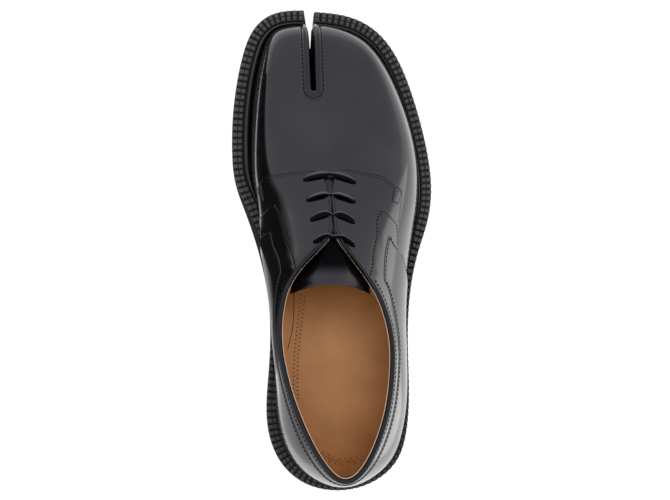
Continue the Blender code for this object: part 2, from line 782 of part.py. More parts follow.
def make_upper():
    build = bmesh.new()
    stations = list(SHELL_STATIONS) + [LAST_STATION - q for q in SHELL_STATIONS[-2::-1]]
    made = {}
    rows = len(SHELL_HEIGHTS)

    def column(w):
        q = half_station(w)
        reach = edge_height(w)
        verts = []
        for j, t in enumerate(SHELL_HEIGHTS):
            on_ridge = j == rows - 1 and SLIT_END <= q < THROAT_FRONT
            key = (round(q, 3) if on_ridge else round(w, 3), j)
            if key not in made:
                made[key] = build.verts.new(upper_point(w, t * reach))
            verts.append(made[key])
        if q <= SLIT_END:
            for k, point in enumerate(lip_points(w)):
                key = (round(q, 3) if q == SLIT_END else round(w, 3), rows + k)
                if key not in made:
                    made[key] = build.verts.new(point)
                verts.append(made[key])
        return verts

    columns = [column(w) for w in stations]
    for a, b in zip(columns, columns[1:]):
        for j in range(min(len(a), len(b)) - 1):
            build.faces.new((a[j], b[j], b[j + 1], a[j + 1]))
    thicken(add_part("upper", build, "upper"), WALL, False)


def panel_strips(table):
    """The panel's strips: every row of its table, with more between rows that lie far apart."""
    table = np.array(table)
    strips = [table[0]]
    for a, b in zip(table, table[1:]):
        steps = max(1, round(max(abs(b - a)[[0, 2]]) / PANEL_STRIP))
        strips += [mix(a, b, k / steps) for k in range(1, steps + 1)]
    return strips


def make_panel(name, table, cells, thickness):
    build = bmesh.new()
    columns = []
    for first_w, first_t, second_w, second_t in panel_strips(table):
        column = []
        for share in np.linspace(0, 1, cells + 1):
            w, t = mix(first_w, second_w, share), mix(first_t, second_t, share)
            column.append(build.verts.new(upper_point(w, t) + upper_normal(w, t) * PANEL_GAP))
        columns.append(column)
    for a, b in zip(columns, columns[1:]):
        for j in range(cells):
            build.faces.new((a[j], a[j + 1], b[j + 1], b[j]))
    w, t = panel_strips(table)[len(columns) // 2][:2]
    build.normal_update()
    middle_face = build.faces[:][len(build.faces) // 2]
    if np.dot(middle_face.normal, upper_normal(w, t)) < 0:
        bmesh.ops.reverse_faces(build, faces=build.faces)
    thicken(add_part(name, build, "panel"), thickness, True)


def make_tongue():
    build = bmesh.new()
    table = np.array(TONGUE)
    places = np.linspace(0, len(table) - 1, TONGUE_CELLS[1] + 1)
    columns = []
    for place in places:
        y, x, z, half, droop = [np.interp(place, np.arange(len(table)), column) for column in table.T]
        back_share = smoothstep((TONGUE[0][0] - y) / (TONGUE[0][0] - TONGUE[-1][0]))
        column = []
        for u in np.linspace(-1, 1, TONGUE_CELLS[0] + 1):
            sweep = TONGUE_END_SWEEP * u * u * back_share
            drop = droop * abs(u) ** TONGUE_DROOP_POWER
            column.append(build.verts.new((x + half * u, y - sweep, z - drop)))
        columns.append(column)
    for a, b in zip(columns, columns[1:]):
        for j in range(TONGUE_CELLS[0]):
            build.faces.new((a[j], b[j], b[j + 1], a[j + 1]))
    thicken(add_part("tongue", build, "tongue"), TONGUE_THICKNESS, False)


def make_lace_bar(name, medial_w, medial_t, lateral_w, lateral_t):
    """One straight run of the lace, laid over both facings from hole to hole."""
    radius = LACE_DIAMETER / 2
    lift = PANEL_GAP + FACING_THICKNESS + SEAT_GAP + radius
    path = []
    for share in np.linspace(0, 1, LACE_CELLS + 1):
        q = mix(medial_w, LAST_STATION - lateral_w, share) - LACE_BOW * math.sin(math.pi * share)
        if share < 0.5:
            w, t = q, mix(medial_t, 1.0, 2 * share)
        else:
            w, t = LAST_STATION - q, mix(1.0, lateral_t, 2 * share - 1)
        path.append(upper_point(w, t) + upper_normal(w, t) * lift)
    build = bmesh.new()
    rings = []
    for i, point in enumerate(path):
        along = unit(path[min(i + 1, len(path) - 1)] - path[max(i - 1, 0)])
        across = unit(np.cross(along, np.array([0.0, 0.0, 1.0])))
        up = np.cross(across, along)
        angles = [2 * math.pi * k / LACE_SIDES for k in range(LACE_SIDES)]
        ring = [point + radius * (math.cos(a) * across + math.sin(a) * up) for a in angles]
        rings.append([build.verts.new(p) for p in ring])
    for a, b in zip(rings, rings[1:]):
        for k in range(LACE_SIDES):
            build.faces.new((a[k], a[(k + 1) % LACE_SIDES], b[(k + 1) % LACE_SIDES], b[k]))
    build.faces.new(rings[0])
    build.faces.new(rings[-1])
    close_and_add(name, build, "lace")


make_outsole()
make_heel()
make_welt()
make_insole()
make_upper()
make_tongue()
make_panel("facing_medial", FACING_MEDIAL, FACING_CELLS, FACING_THICKNESS)
make_panel("facing_lateral", FACING_LATERAL, FACING_CELLS, FACING_THICKNESS)
make_panel("collar_panel", COLLAR_PANEL, COLLAR_PANEL_CELLS, COLLAR_PANEL_THICKNESS)
make_panel("counter", COUNTER, COUNTER_CELLS, COUNTER_THICKNESS)
for number, bar in enumerate(LACE_BARS, 1):
    make_lace_bar(f"lace_bar_{number}", *bar)
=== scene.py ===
# %% [markdown]
# # A split toe derby
# This is a shoe for the right foot: a black lace-up whose toe is split, so that the big toe has a room
# of its own. Its solids are already modelled and packed at their real size. This lesson gives them the
# finish of the real shoe: polished leather, a notched welt, a tan lining, stitches and a lace. Nothing
# is moved or resized. Each piece is drawn again on the same last, the foot-shaped form over which the
# maker pulls the leather.

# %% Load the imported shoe
import math

import bmesh
import bpy
import numpy as np
from mathutils import Matrix, Vector


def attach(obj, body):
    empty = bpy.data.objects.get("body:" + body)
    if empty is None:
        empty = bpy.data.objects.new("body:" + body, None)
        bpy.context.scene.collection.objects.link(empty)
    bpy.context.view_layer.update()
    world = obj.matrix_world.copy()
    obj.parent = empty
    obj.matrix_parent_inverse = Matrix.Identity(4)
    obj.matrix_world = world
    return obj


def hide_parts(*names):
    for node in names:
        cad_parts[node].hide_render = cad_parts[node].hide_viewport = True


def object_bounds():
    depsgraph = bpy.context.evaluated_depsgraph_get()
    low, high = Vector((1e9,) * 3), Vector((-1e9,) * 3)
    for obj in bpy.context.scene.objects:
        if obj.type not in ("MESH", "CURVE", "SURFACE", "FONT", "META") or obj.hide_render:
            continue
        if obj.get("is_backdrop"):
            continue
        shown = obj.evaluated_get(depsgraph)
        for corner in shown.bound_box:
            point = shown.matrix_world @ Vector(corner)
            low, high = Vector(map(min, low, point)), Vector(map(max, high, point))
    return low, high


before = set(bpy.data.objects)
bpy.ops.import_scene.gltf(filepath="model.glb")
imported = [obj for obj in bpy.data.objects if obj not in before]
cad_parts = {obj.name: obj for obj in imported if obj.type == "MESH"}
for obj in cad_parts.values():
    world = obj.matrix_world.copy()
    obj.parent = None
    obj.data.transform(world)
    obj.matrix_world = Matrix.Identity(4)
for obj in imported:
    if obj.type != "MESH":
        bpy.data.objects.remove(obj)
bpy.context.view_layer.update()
print("packed nodes:", ", ".join(sorted(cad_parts)))

# %% [markdown]
# ## Curves from short tables
# A last is known by a few sections, so each line of the shoe is a short table whose first column is the
# place along it. A Bezier curve object could carry such a line, but a formula can be asked for ten
# thousand points at once. A natural spline is used: it passes through every row and bends smoothly
# between them, which matters here, because polished leather shows every kink in its reflections.

# %% Splines and small helpers
MM = 0.001


def unit(v):
    return v / np.maximum(np.linalg.norm(v, axis=-1, keepdims=True), 1e-9)


def mix(a, b, share):
    return a + (b - a) * share


def ease(share):
    share = np.clip(share, 0.0, 1.0)
    return share * share * (3 - 2 * share)


def run_along(points):
    """The length along a line of points, up to each of them."""
    return np.concatenate([[0.0], np.cumsum(np.linalg.norm(np.diff(points, axis=0), axis=1))])


def smooth_curve(rows):
    """A smooth function through the rows of a table; it takes one place or an array of places."""
    table = np.asarray(rows, float)
    knots, values = table[:, 0], table[:, 1:]
    count = len(knots)
    span = np.diff(knots)
    system = np.eye(count)
    right = np.zeros_like(values)
    for i in range(1, count - 1):
        system[i, i - 1 : i + 2] = span[i - 1], 2 * (span[i - 1] + span[i]), span[i]
        right[i] = 6 * ((values[i + 1] - values[i]) / span[i] - (values[i] - values[i - 1]) / span[i - 1])
    bend = np.linalg.solve(system, right)

    def at(place):
        place = np.asarray(place, float)
        i = np.clip(np.searchsorted(knots, place) - 1, 0, count - 2)
        width = span[i][..., None]
        a = (knots[i + 1] - place)[..., None] / width
        b = 1 - a
        curve = (a**3 - a) * bend[i] + (b**3 - b) * bend[i + 1]
        return a * values[i] + b * values[i + 1] + curve * width**2 / 6

    return at


# %% [markdown]
# ## The sole's own lines
# The sole is cut from a flat sheet, so its edge is one line in plan and one height over the floor. The
# table has a row for each place where the pattern changes: x and y of the edge, the bare shelf outside
# the welt, and the reach from the edge in to the feather line, where the leather of the upper turns
# under. All the numbers are millimetres. The toe points to +Y and the inner, medial side of the foot is
# at -X.

# %% Lines of the sole
SEAT_GAP = 0.5
HEEL_SEAT = 20.0
HEEL_BREAST_Y = -62.0
WAIST_BACK_Y = -54.0
TREAD_BACK_Y = 30.0
TREAD_FRONT_Y = 75.0
TOE_Y = 150.0
TOE_SPRING = 8.5
TOE_SPRING_POWER = 1.8
OUTSOLE_THICKNESS = 6.5
SOLE_EDGE = np.array((
    (-18.4, 149.4, 0.0, 9.3),
    (-29.0, 149.0, 0.0, 9.3),
    (-41.5, 145.2, 0.0, 9.4),
    (-50.0, 137.2, 0.0, 9.8),
    (-56.0, 123.4, 0.0, 10.2),
    (-60.0, 105.5, 0.0, 10.5),
    (-62.6, 84.0, 0.0, 11.0),
    (-63.1, 62.0, 0.0, 11.3),
    (-61.2, 42.5, 0.2, 11.3),
    (-55.4, 25.0, 2.0, 10.0),
    (-49.6, 8.5, 3.2, 7.4),
    (-44.6, -10.0, 2.8, 6.2),
    (-40.8, -32.0, 1.5, 5.6),
    (-39.8, -55.0, 0.3, 5.6),
    (-40.8, -76.0, 0.0, 6.4),
    (-42.2, -97.0, 0.0, 7.0),
    (-40.2, -116.5, 0.0, 7.5),
    (-33.8, -131.2, 0.0, 7.5),
    (-20.0, -144.0, 0.0, 7.2),
    (1.8, -149.4, 0.0, 6.8),
    (24.4, -144.0, 0.0, 6.6),
    (38.8, -131.0, 0.0, 6.4),
    (44.5, -114.0, 0.0, 5.8),
    (46.2, -94.0, 0.0, 5.0),
    (45.9, -72.0, 0.0, 4.8),
    (45.6, -49.0, 0.0, 4.8),
    (48.2, -24.0, 0.0, 4.8),
    (54.2, -1.0, 0.0, 5.6),
    (61.0, 19.5, 0.0, 8.0),
    (63.1, 37.5, 0.0, 9.3),
    (61.0, 59.0, 0.0, 8.8),
    (55.0, 84.5, 0.0, 7.8),
    (47.0, 107.8, 0.0, 7.8),
    (37.0, 126.6, 0.0, 8.4),
    (24.5, 139.2, 0.0, 8.8),
    (8.5, 146.2, 0.0, 9.1),
    (-11.8, 148.6, 0.0, 9.2),
))
HEEL_ROW = 19
EDGE_LENGTHS = run_along(SOLE_EDGE[:, :2])
EDGE_END = float(EDGE_LENGTHS[-1])
EDGE_HEEL = float(EDGE_LENGTHS[HEEL_ROW])
EDGE = smooth_curve(np.column_stack([EDGE_LENGTHS, SOLE_EDGE]))


def underside(y):
    """Height of the outsole's underside: flat tread, a waist that rises to the heel, and the toe spring."""
    waist = HEEL_SEAT * ease((TREAD_BACK_Y - y) / (TREAD_BACK_Y - WAIST_BACK_Y))
    spring = np.clip((y - TREAD_FRONT_Y) / (TOE_Y - TREAD_FRONT_Y), 0, None) ** TOE_SPRING_POWER
    return waist + TOE_SPRING * spring


def feather_z(y):
    return underside(y) + OUTSOLE_THICKNESS + SEAT_GAP


def edge_inward(s):
    """Unit vector in plan that points from the sole's edge to its inside."""
    step = 0.5
    along = unit(EDGE(s + step)[..., :2] - EDGE(s - step)[..., :2])
    return np.stack([-along[..., 1], along[..., 0]], -1)


def edge_point(s, inset):
    return EDGE(s)[..., :2] + edge_inward(s) * np.asarray(inset, float)[..., None]


print(f"sole edge {EDGE_END:.0f} mm long")

# %% [markdown]
# ## The last
# The upper is drawn on ribs, like the frames of a boat. A station counts the ribs round the shoe, from
# the mouth of the split along the medial side, round the heel and back along the lateral side. Each rib
# is one cubic Bezier from the feather line up to the top line: the ridge over the middle of the foot,
# or the collar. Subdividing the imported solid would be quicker, but it would round off the split and
# keep the facets; the same ribs, asked for many more points, give the smooth skin that the solid only
# sketches.

# %% Tables of the last
SLIT_END = 2.0
THROAT_FRONT = 3.5
THROAT_TOP = 4.5
HEEL_BACK = 8.5
LAST_STATION = 2 * HEEL_BACK
COLLAR_TURN = 0.7
CORNER_EASE = 0.3
CORNER_STEPS = np.linspace(-0.2, 0.2, 41)
RIB_FEET = np.array((
    (0.0, 0.28),
    (2.0, 5.2),
    (3.5, 8.4),
    (4.5, 10.5),
    (6.5, 14.8),
    (8.5, 19.0),
    (10.5, 23.2),
    (12.5, 27.3),
    (13.5, 29.5),
    (15.0, 31.6),
    (17.0, 35.86),
))
CENTRE_LINE = (
    (0.00, -15.4, 140.0, 16.0),
    (0.30, -15.4, 139.4, 26.0),
    (0.62, -15.3, 135.6, 35.5),
    (0.95, -15.3, 128.0, 42.5),
    (1.28, -15.2, 117.0, 47.0),
    (1.64, -15.0, 104.5, 50.0),
    (2.00, -14.6, 91.5, 52.5),
    (2.60, -12.4, 74.0, 56.8),
    (3.10, -9.6, 58.0, 63.0),
    (3.50, -7.6, 45.0, 70.0),
    (4.00, -6.2, 26.5, 80.5),
    (4.50, -5.8, 7.0, 92.5),
)
COLLAR = (
    (4.50, -6.3, 7.0, 92.5),
    (4.66, -16.5, -1.8, 90.6),
    (4.88, -27.5, -14.5, 86.4),
    (5.25, -34.6, -31.0, 82.0),
    (5.66, -36.4, -50.0, 79.2),
    (6.13, -33.6, -71.5, 79.0),
    (6.65, -27.2, -93.0, 80.4),
    (7.26, -17.8, -114.5, 83.8),
    (7.85, -8.2, -129.2, 87.0),
    (8.50, 1.6, -135.0, 88.0),
    (9.12, 11.2, -129.2, 87.0),
    (9.66, 19.4, -115.5, 83.6),
    (10.26, 26.8, -93.5, 79.0),
    (10.78, 29.6, -72.0, 76.8),
    (11.24, 29.0, -52.0, 77.2),
    (11.66, 23.8, -33.5, 80.4),
    (12.06, 14.8, -18.0, 85.4),
    (12.30, 4.4, -4.6, 90.2),
    (12.50, -5.3, 7.0, 92.5),
)
# Station; lean at the foot in degrees; side and crown, how far both ends run straight; rise at the top.
RIBS = (
    (0.0, 0.0, 0.30, 0.30, 0.0),
    (1.0, -6.0, 0.68, 0.64, 0.0),
    (2.0, -6.0, 0.70, 0.64, 0.0),
    (3.5, 6.0, 0.50, 0.50, 0.0),
    (4.0, 15.0, 0.43, 0.37, 6.0),
    (4.5, 23.0, 0.42, 0.34, 22.0),
    (5.0, 22.0, 0.42, 0.28, 50.0),
    (6.0, 9.0, 0.40, 0.28, 70.0),
    (7.2, 0.0, 0.36, 0.30, 62.0),
    (8.5, 4.0, 0.34, 0.30, 70.0),
    (9.8, 8.0, 0.36, 0.30, 60.0),
    (11.0, 12.0, 0.38, 0.28, 58.0),
    (12.0, 4.0, 0.40, 0.28, 44.0),
    (12.5, -4.0, 0.42, 0.36, 22.0),
    (13.0, -2.0, 0.46, 0.43, 6.0),
    (13.5, -1.5, 0.55, 0.55, 0.0),
    (15.0, -7.0, 0.70, 0.65, 0.0),
    (16.0, -9.5, 0.68, 0.65, 0.0),
    (17.0, 0.0, 0.30, 0.30, 0.0),
)
FEET_LENGTHS = np.interp(RIB_FEET[:, 1], np.arange(len(SOLE_EDGE)), EDGE_LENGTHS)
FOOT_LENGTH = smooth_curve(np.column_stack([RIB_FEET[:, 0], FEET_LENGTHS]))
CENTRE = smooth_curve(CENTRE_LINE)
COLLAR_LINE = smooth_curve(COLLAR)
RIB_SHAPE = smooth_curve(RIBS)
print(f"collar {float(COLLAR_LINE(HEEL_BACK)[2]):.0f} mm high at the heel")

# %% Ribs of the last


def half_station(w):
    return np.minimum(w, LAST_STATION - w)


def side_of(w):
    return np.where(w < HEEL_BACK, -1.0, 1.0)


def flat(x, y):
    return np.stack([x, y, np.zeros_like(x)], -1)


def top_point(w):
    q = half_station(w)
    ridge = CENTRE(np.minimum(q, THROAT_TOP))
    collar = COLLAR_LINE(np.clip(w, THROAT_TOP, LAST_STATION - THROAT_TOP))
    return np.where((q >= THROAT_TOP)[..., None], collar, ridge)


EASED_PLACES = np.linspace(-0.5, LAST_STATION + 0.5, 9001)
eased_reach = ease(1.6 - np.abs(half_station(EASED_PLACES) - THROAT_TOP) / CORNER_EASE)
EASED_LINE = np.mean([top_point(EASED_PLACES + eased_reach * off) for off in CORNER_STEPS], axis=0)


def eased_top(w):
    """The top line with its corner at the throat rounded off, for the leather below it."""
    return np.stack([np.interp(w, EASED_PLACES, column) for column in EASED_LINE.T], -1)


def top_inward(w):
    """Unit vector in plan, square to the top line, that points from the leather to the opening."""
    step = 0.01
    q = half_station(w)
    line_q = np.minimum(q, THROAT_TOP)
    along = unit((CENTRE(line_q) - CENTRE(line_q - step))[..., :2])
    over_ridge = flat(side_of(w) * along[..., 1], -side_of(w) * along[..., 0])
    collar_w = np.clip(w, THROAT_TOP, LAST_STATION - THROAT_TOP)
    along = unit((COLLAR_LINE(collar_w + step) - COLLAR_LINE(collar_w - step))[..., :2])
    into_collar = flat(-along[..., 1], along[..., 0])
    turn = ease((q - THROAT_TOP) / COLLAR_TURN)
    return unit(mix(over_ridge, into_collar, turn[..., None]))


def rib_point(w, t):
    """A point of one rib: t is 0 on the feather line and 1 on the centre line or the collar."""
    s = FOOT_LENGTH(w)[..., 0]
    inward = edge_inward(s)
    foot = edge_point(s, EDGE(s)[..., 3])
    foot = np.concatenate([foot, feather_z(foot[..., 1])[..., None]], -1)
    top = top_point(w)
    lean, side, crown, rise = np.moveaxis(RIB_SHAPE(w), -1, 0)[..., None]
    chord = np.linalg.norm(top - foot, axis=-1, keepdims=True)
    lean, rise = np.radians(lean), np.radians(rise)
    up = np.array([0.0, 0.0, 1.0])
    up_wall = up * np.cos(lean) - flat(inward[..., 0], inward[..., 1]) * np.sin(lean)
    over = top_inward(w) * np.cos(rise) + up * np.sin(rise)
    low = foot + up_wall * side * chord
    high = eased_top(w) - over * crown * chord
    t = np.asarray(t)[..., None]
    u = 1 - t
    return u**3 * foot + 3 * u * u * t * low + 3 * u * t * t * high + t**3 * top


# %% [markdown]
# ## Leather is pulled, not drawn
# Two things soften the drawn form. Where the throat meets the collar, the leather is pulled smooth
# across the change, so neighbouring ribs are averaged there. And a worn or lasted vamp is never dead
# even: a few shallow troughs and ridges are placed, each an ellipse with a soft edge. They are
# a fraction of a millimetre deep, which is enough to bend a reflection, and a bump map would not show
# in the outline.

# %% The leather's skin
BLUR_STATIONS = 0.28
BLUR_REACH = 0.4
LEAST_BLUR = 0.002
BLUR_STEPS = np.linspace(-1, 1, 19)[1:-1]
BLUR_WEIGHTS = np.cos(BLUR_STEPS * math.pi / 2) ** 2
BLUR_WEIGHTS = BLUR_WEIGHTS / BLUR_WEIGHTS.sum()
# x and y of the middle, direction in degrees, half length, half width, height.
CREASES = (
    (20.0, 68.0, -20.0, 24.0, 5.0, -0.20),
    (26.0, 57.0, -26.0, 18.0, 4.0, 0.14),
    (-36.0, 72.0, 24.0, 15.0, 5.0, -0.20),
    (-13.0, 78.0, 84.0, 18.0, 7.0, 0.28),
    (4.0, 108.0, 78.0, 26.0, 9.0, -0.24),
    (-30.0, 112.0, 92.0, 20.0, 7.0, -0.18),
)


def crease_height(x, y):
    height = np.zeros_like(x)
    for mid_x, mid_y, direction, half_length, half_width, rise in CREASES:
        a = math.radians(direction)
        along = (x - mid_x) * math.cos(a) + (y - mid_y) * math.sin(a)
        across = (y - mid_y) * math.cos(a) - (x - mid_x) * math.sin(a)
        height += rise * np.exp(-((along / half_length) ** 2) - (across / half_width) ** 2)
    return height


def skin_point(w, t):
    """A point on the outside of the leather."""
    w, t = np.broadcast_arrays(np.asarray(w, float), np.asarray(t, float))
    reach = BLUR_STATIONS * np.exp(-(((half_station(w) - THROAT_TOP) / BLUR_REACH) ** 2))
    point = rib_point(w, t)
    near = reach > LEAST_BLUR
    steps = zip(BLUR_STEPS, BLUR_WEIGHTS)
    point[near] = sum(weight * rib_point(w[near] + step * reach[near], t[near]) for step, weight in steps)
    point[..., 2] += crease_height(point[..., 0], point[..., 1])
    return point


def skin_normal(w, t):
    """Outward unit normal of the leather."""
    w, t = np.broadcast_arrays(np.asarray(w, float), np.asarray(t, float))
    step_w, step_t = 0.01, 0.006
    along = skin_point(w + step_w, t) - skin_point(w - step_w, t)
    rising = skin_point(w, np.minimum(t + step_t, 1)) - skin_point(w, np.maximum(t - step_t, 0))
    return unit(np.cross(along, rising))


def lift_off(w, t, height):
    return skin_point(w, t) + skin_normal(w, t) * np.asarray(height, float)[..., None]


# %% [markdown]
# ## Meshes from grids
# Every sheet of leather here is a grid of points, so its mesh can be written straight from numpy: an
# outer grid, an inner grid and the rim between them make one closed sheet with a real thickness. A
# Solidify modifier would do the same for a plain sheet. The grid way also lets chosen cells be left
# out, which punches true lace holes, and lets the edge be rounded row by row.

# %% Sheets and pieces
WELD_DISTANCE = 0.002


def sheet(outer, inner, keep=None, joined_low=None, joined_high=None):
    """Points and faces of a closed sheet between two grids.  Cells outside keep become holes.  The joined
    masks name the cells whose rim is left open, because another sheet goes on there."""
    rows, columns = outer.shape[:2]
    count = rows * columns
    if keep is None:
        keep = np.ones((rows - 1, columns - 1), bool)
    number = np.arange(count).reshape(rows, columns)
    a, b, c, d = number[:-1, :-1], number[1:, :-1], number[1:, 1:], number[:-1, 1:]
    top = np.stack([a, b, c, d], -1)[keep]
    faces = [top, top[:, ::-1] + count]
    beside = np.pad(keep, 1)
    for p, q, across, up in ((a, b, 0, -1), (b, c, 1, 0), (c, d, 0, 1), (d, a, -1, 0)):
        open_side = keep & ~beside[1 + across : rows + across, 1 + up : columns + up]
        if up == -1 and joined_low is not None:
            open_side[:, 0] &= ~joined_low
        if up == 1 and joined_high is not None:
            open_side[:, -1] &= ~joined_high
        faces.append(np.stack([q, p, p + count, q + count], -1)[open_side])
    points = np.concatenate([outer.reshape(-1, 3), inner.reshape(-1, 3)])
    return points, np.concatenate(faces)


def outward_sheet(outer, inner, keep=None):
    """A sheet whose faces look outwards, whichever way its grid runs."""
    points, faces = sheet(outer, inner, keep)
    i, j = outer.shape[0] // 2, outer.shape[1] // 2
    normal = np.cross(outer[i + 1, j] - outer[i, j], outer[i, j + 1] - outer[i, j])
    looks_out = np.dot(normal, outer[i, j] - inner[i, j]) > 0
    return points, faces if looks_out else faces[:, ::-1]


def ring_faces(rings, sides):
    """Faces of a tube between rings of points."""
    corners = [(ring * sides, k, (k + 1) % sides) for ring in range(rings - 1) for k in range(sides)]
    return [(low + k, low + sides + k, low + sides + n, low + n) for low, k, n in corners]


def join(*meshes):
    """Several (points, faces) in one."""
    starts = np.cumsum([0] + [len(points) for points, _ in meshes])
    points = np.concatenate([points for points, _ in meshes])
    faces = [list(face) for (_, faces), start in zip(meshes, starts) for face in np.asarray(faces) + start]
    return points, faces


def show(name, made, material, slot, *nodes, sharp=None, weld=False, shade=None):
    """Make a piece of the shoe from points in millimetres and faces, and let it stand for its solids.
    A shade is one value a point, which the finish can read."""
    points, faces = made
    mesh = bpy.data.meshes.new(name)
    mesh.from_pydata((np.asarray(points) * MM).tolist(), [], [list(map(int, face)) for face in faces])
    if shade is not None:
        carried = mesh.attributes.new("shade", "FLOAT", "POINT")
        carried.data.foreach_set("value", np.ravel(shade).astype(np.float32))
    if weld:
        build = bmesh.new()
        build.from_mesh(mesh)
        bmesh.ops.remove_doubles(build, verts=build.verts, dist=WELD_DISTANCE * MM)
        build.to_mesh(mesh)
        build.free()
    mesh.shade_smooth()
    if sharp is not None:
        mesh.set_sharp_from_angle(angle=math.radians(sharp))
    mesh.materials.append(material)
    piece = bpy.data.objects.new(name, mesh)
    bpy.context.scene.collection.objects.link(piece)
    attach(piece, "root")
    if nodes:
        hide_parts(*nodes)
    mesh.calc_loop_triangles()
    print(f"{name}: {len(mesh.loop_triangles)} triangles")
    return piece

# %% [markdown]
# ## Finishes
# The upper is corrected leather with a hard polish: almost black, smooth, with a clear top coat that
# mirrors the room. Its pores are far finer than a pixel, so they are left to a bump of a hundredth of a
# millimetre, while a broader, softer bump keeps the mirror from looking like plastic. Noise in object
# space is used for all of this: the objects sit at the origin, so one scale in metres runs across every
# panel without a seam.

# %% Helpers for the finishes


def new_finish(name, colour, roughness):
    """A Principled finish, with its colour and roughness set on the shader's own sockets."""
    finish = bpy.data.materials.new(name)
    finish.use_nodes = True
    tree = finish.node_tree
    shader = tree.nodes["Principled BSDF"]
    shader.inputs["Base Color"].default_value = (*colour, 1)
    shader.inputs["Roughness"].default_value = roughness
    return finish, tree, shader


def add_node(tree, kind, inputs=(), **settings):
    node = tree.nodes.new("ShaderNode" + kind)
    for key, value in settings.items():
        setattr(node, key, value)
    for key, value in dict(inputs).items():
        node.inputs[key].default_value = value
    return node


def noise(tree, scale, detail=2.0):
    """Noise in object space; the scale is in features a metre."""
    place = add_node(tree, "TexCoord")
    made = add_node(tree, "TexNoise", {"Scale": scale, "Detail": detail})
    tree.links.new(place.outputs["Object"], made.inputs["Vector"])
    return made.outputs["Fac"]


def vary(tree, value, low, high):
    """Stretch a noise value to the range that a socket needs."""
    made = add_node(tree, "MapRange", {"From Min": 0.3, "From Max": 0.7, "To Min": low, "To Max": high})
    tree.links.new(value, made.inputs["Value"])
    return made.outputs["Result"]


def vary_colour(tree, value, colours, places=(0.3, 0.7)):
    made = add_node(tree, "ValToRGB")
    for stop, colour, place in zip(made.color_ramp.elements, colours, places):
        stop.color = (*colour, 1)
        stop.position = place
    tree.links.new(value, made.inputs["Fac"])
    return made.outputs["Color"]


def point_shade(tree):
    """The shade that a mesh carries on its points."""
    return add_node(tree, "Attribute", attribute_name="shade").outputs["Fac"]


def add_up(tree, first, second):
    made = add_node(tree, "Math", operation="ADD")
    tree.links.new(first, made.inputs[0])
    tree.links.new(second, made.inputs[1])
    return made.outputs["Value"]


def relief(tree, heights):
    """A bump whose height is the sum of several values in metres."""
    total = heights[0]
    for height in heights[1:]:
        total = add_up(tree, total, height)
    bump = add_node(tree, "Bump", {"Strength": 1.0, "Distance": 1.0})
    tree.links.new(total, bump.inputs["Height"])
    return bump.outputs["Normal"]


# %% Polished leather
COAT_ROUGHNESS = 0.06
CLOUD_SCALE = 22
PORE_DEPTH = 0.00001


def polished_leather(name, colour, roughness, coat, wave):
    finish, tree, shader = new_finish(name, colour, roughness)
    pores = vary(tree, noise(tree, 1500, 3), 0.0, PORE_DEPTH)
    waves = vary(tree, noise(tree, 42, 1), 0.0, wave)
    normal = relief(tree, [pores, waves])
    tree.links.new(normal, shader.inputs["Normal"])
    tree.links.new(relief(tree, [waves]), shader.inputs["Coat Normal"])
    rubbed = vary(tree, noise(tree, 90, 4), roughness * 0.8, roughness * 1.25)
    tree.links.new(rubbed, shader.inputs["Roughness"])
    darker = tuple(0.7 * part for part in colour)
    tree.links.new(vary_colour(tree, noise(tree, 30, 3), (darker, colour)), shader.inputs["Base Color"])
    shader.inputs["Coat Weight"].default_value = coat
    shader.inputs["Coat Roughness"].default_value = COAT_ROUGHNESS
    return finish


def set_gloss(finish, level):
    """How strongly a finish mirrors straight on; 0.5 is plain leather."""
    finish.node_tree.nodes["Principled BSDF"].inputs["Specular IOR Level"].default_value = level


def gloss_from_points(finish, cloud=0.0):
    """Take the gloss from the shade that the mesh carries, with a soft cloud on top of it."""
    tree = finish.node_tree
    gloss = point_shade(tree)
    if cloud:
        gloss = add_up(tree, gloss, vary(tree, noise(tree, CLOUD_SCALE, 2), -cloud, cloud))
    tree.links.new(gloss, tree.nodes["Principled BSDF"].inputs["Specular IOR Level"])


def colour_from_points(finish, tones):
    """Mix two tones by the shade that the mesh carries."""
    tree = finish.node_tree
    colour = vary_colour(tree, point_shade(tree), tones, (0.0, 1.0))
    tree.links.new(colour, tree.nodes["Principled BSDF"].inputs["Base Color"])


BLACK_LEATHER = polished_leather("black leather", (0.0026, 0.0025, 0.0032), 0.17, 0.36, 0.000018)
TONGUE_LEATHER = polished_leather("tongue leather", (0.003, 0.0029, 0.0034), 0.26, 0.0, 0.00003)
UPPER_LEATHER = polished_leather("upper leather", (0.0026, 0.0025, 0.0032), 0.17, 0.36, 0.000018)
BINDING = polished_leather("collar binding", (0.008, 0.008, 0.0085), 0.24, 0.0, 0.00002)
gloss_from_points(UPPER_LEATHER, 0.1)
gloss_from_points(TONGUE_LEATHER)
set_gloss(BINDING, 0.34)
print("polished leather mixed")

# %% [markdown]
# ## Tan lining, rubber and thread
# Inside, the shoe is lined with undyed tan calf. It has no polish: a rough, warm surface with fine
# pores, a little darker where it has been handled. A broad noise moves the colour by a few percent and
# a fine one gives the pores. The welt, the rubber and the needle holes are matt and black, and differ
# in tone and roughness.

# %% Tan leather, rubber and thread
# How much painted light and shade a shaded tan leather takes from the shade that its mesh carries.
PAINTED_SHADING_SHARE = 0.62


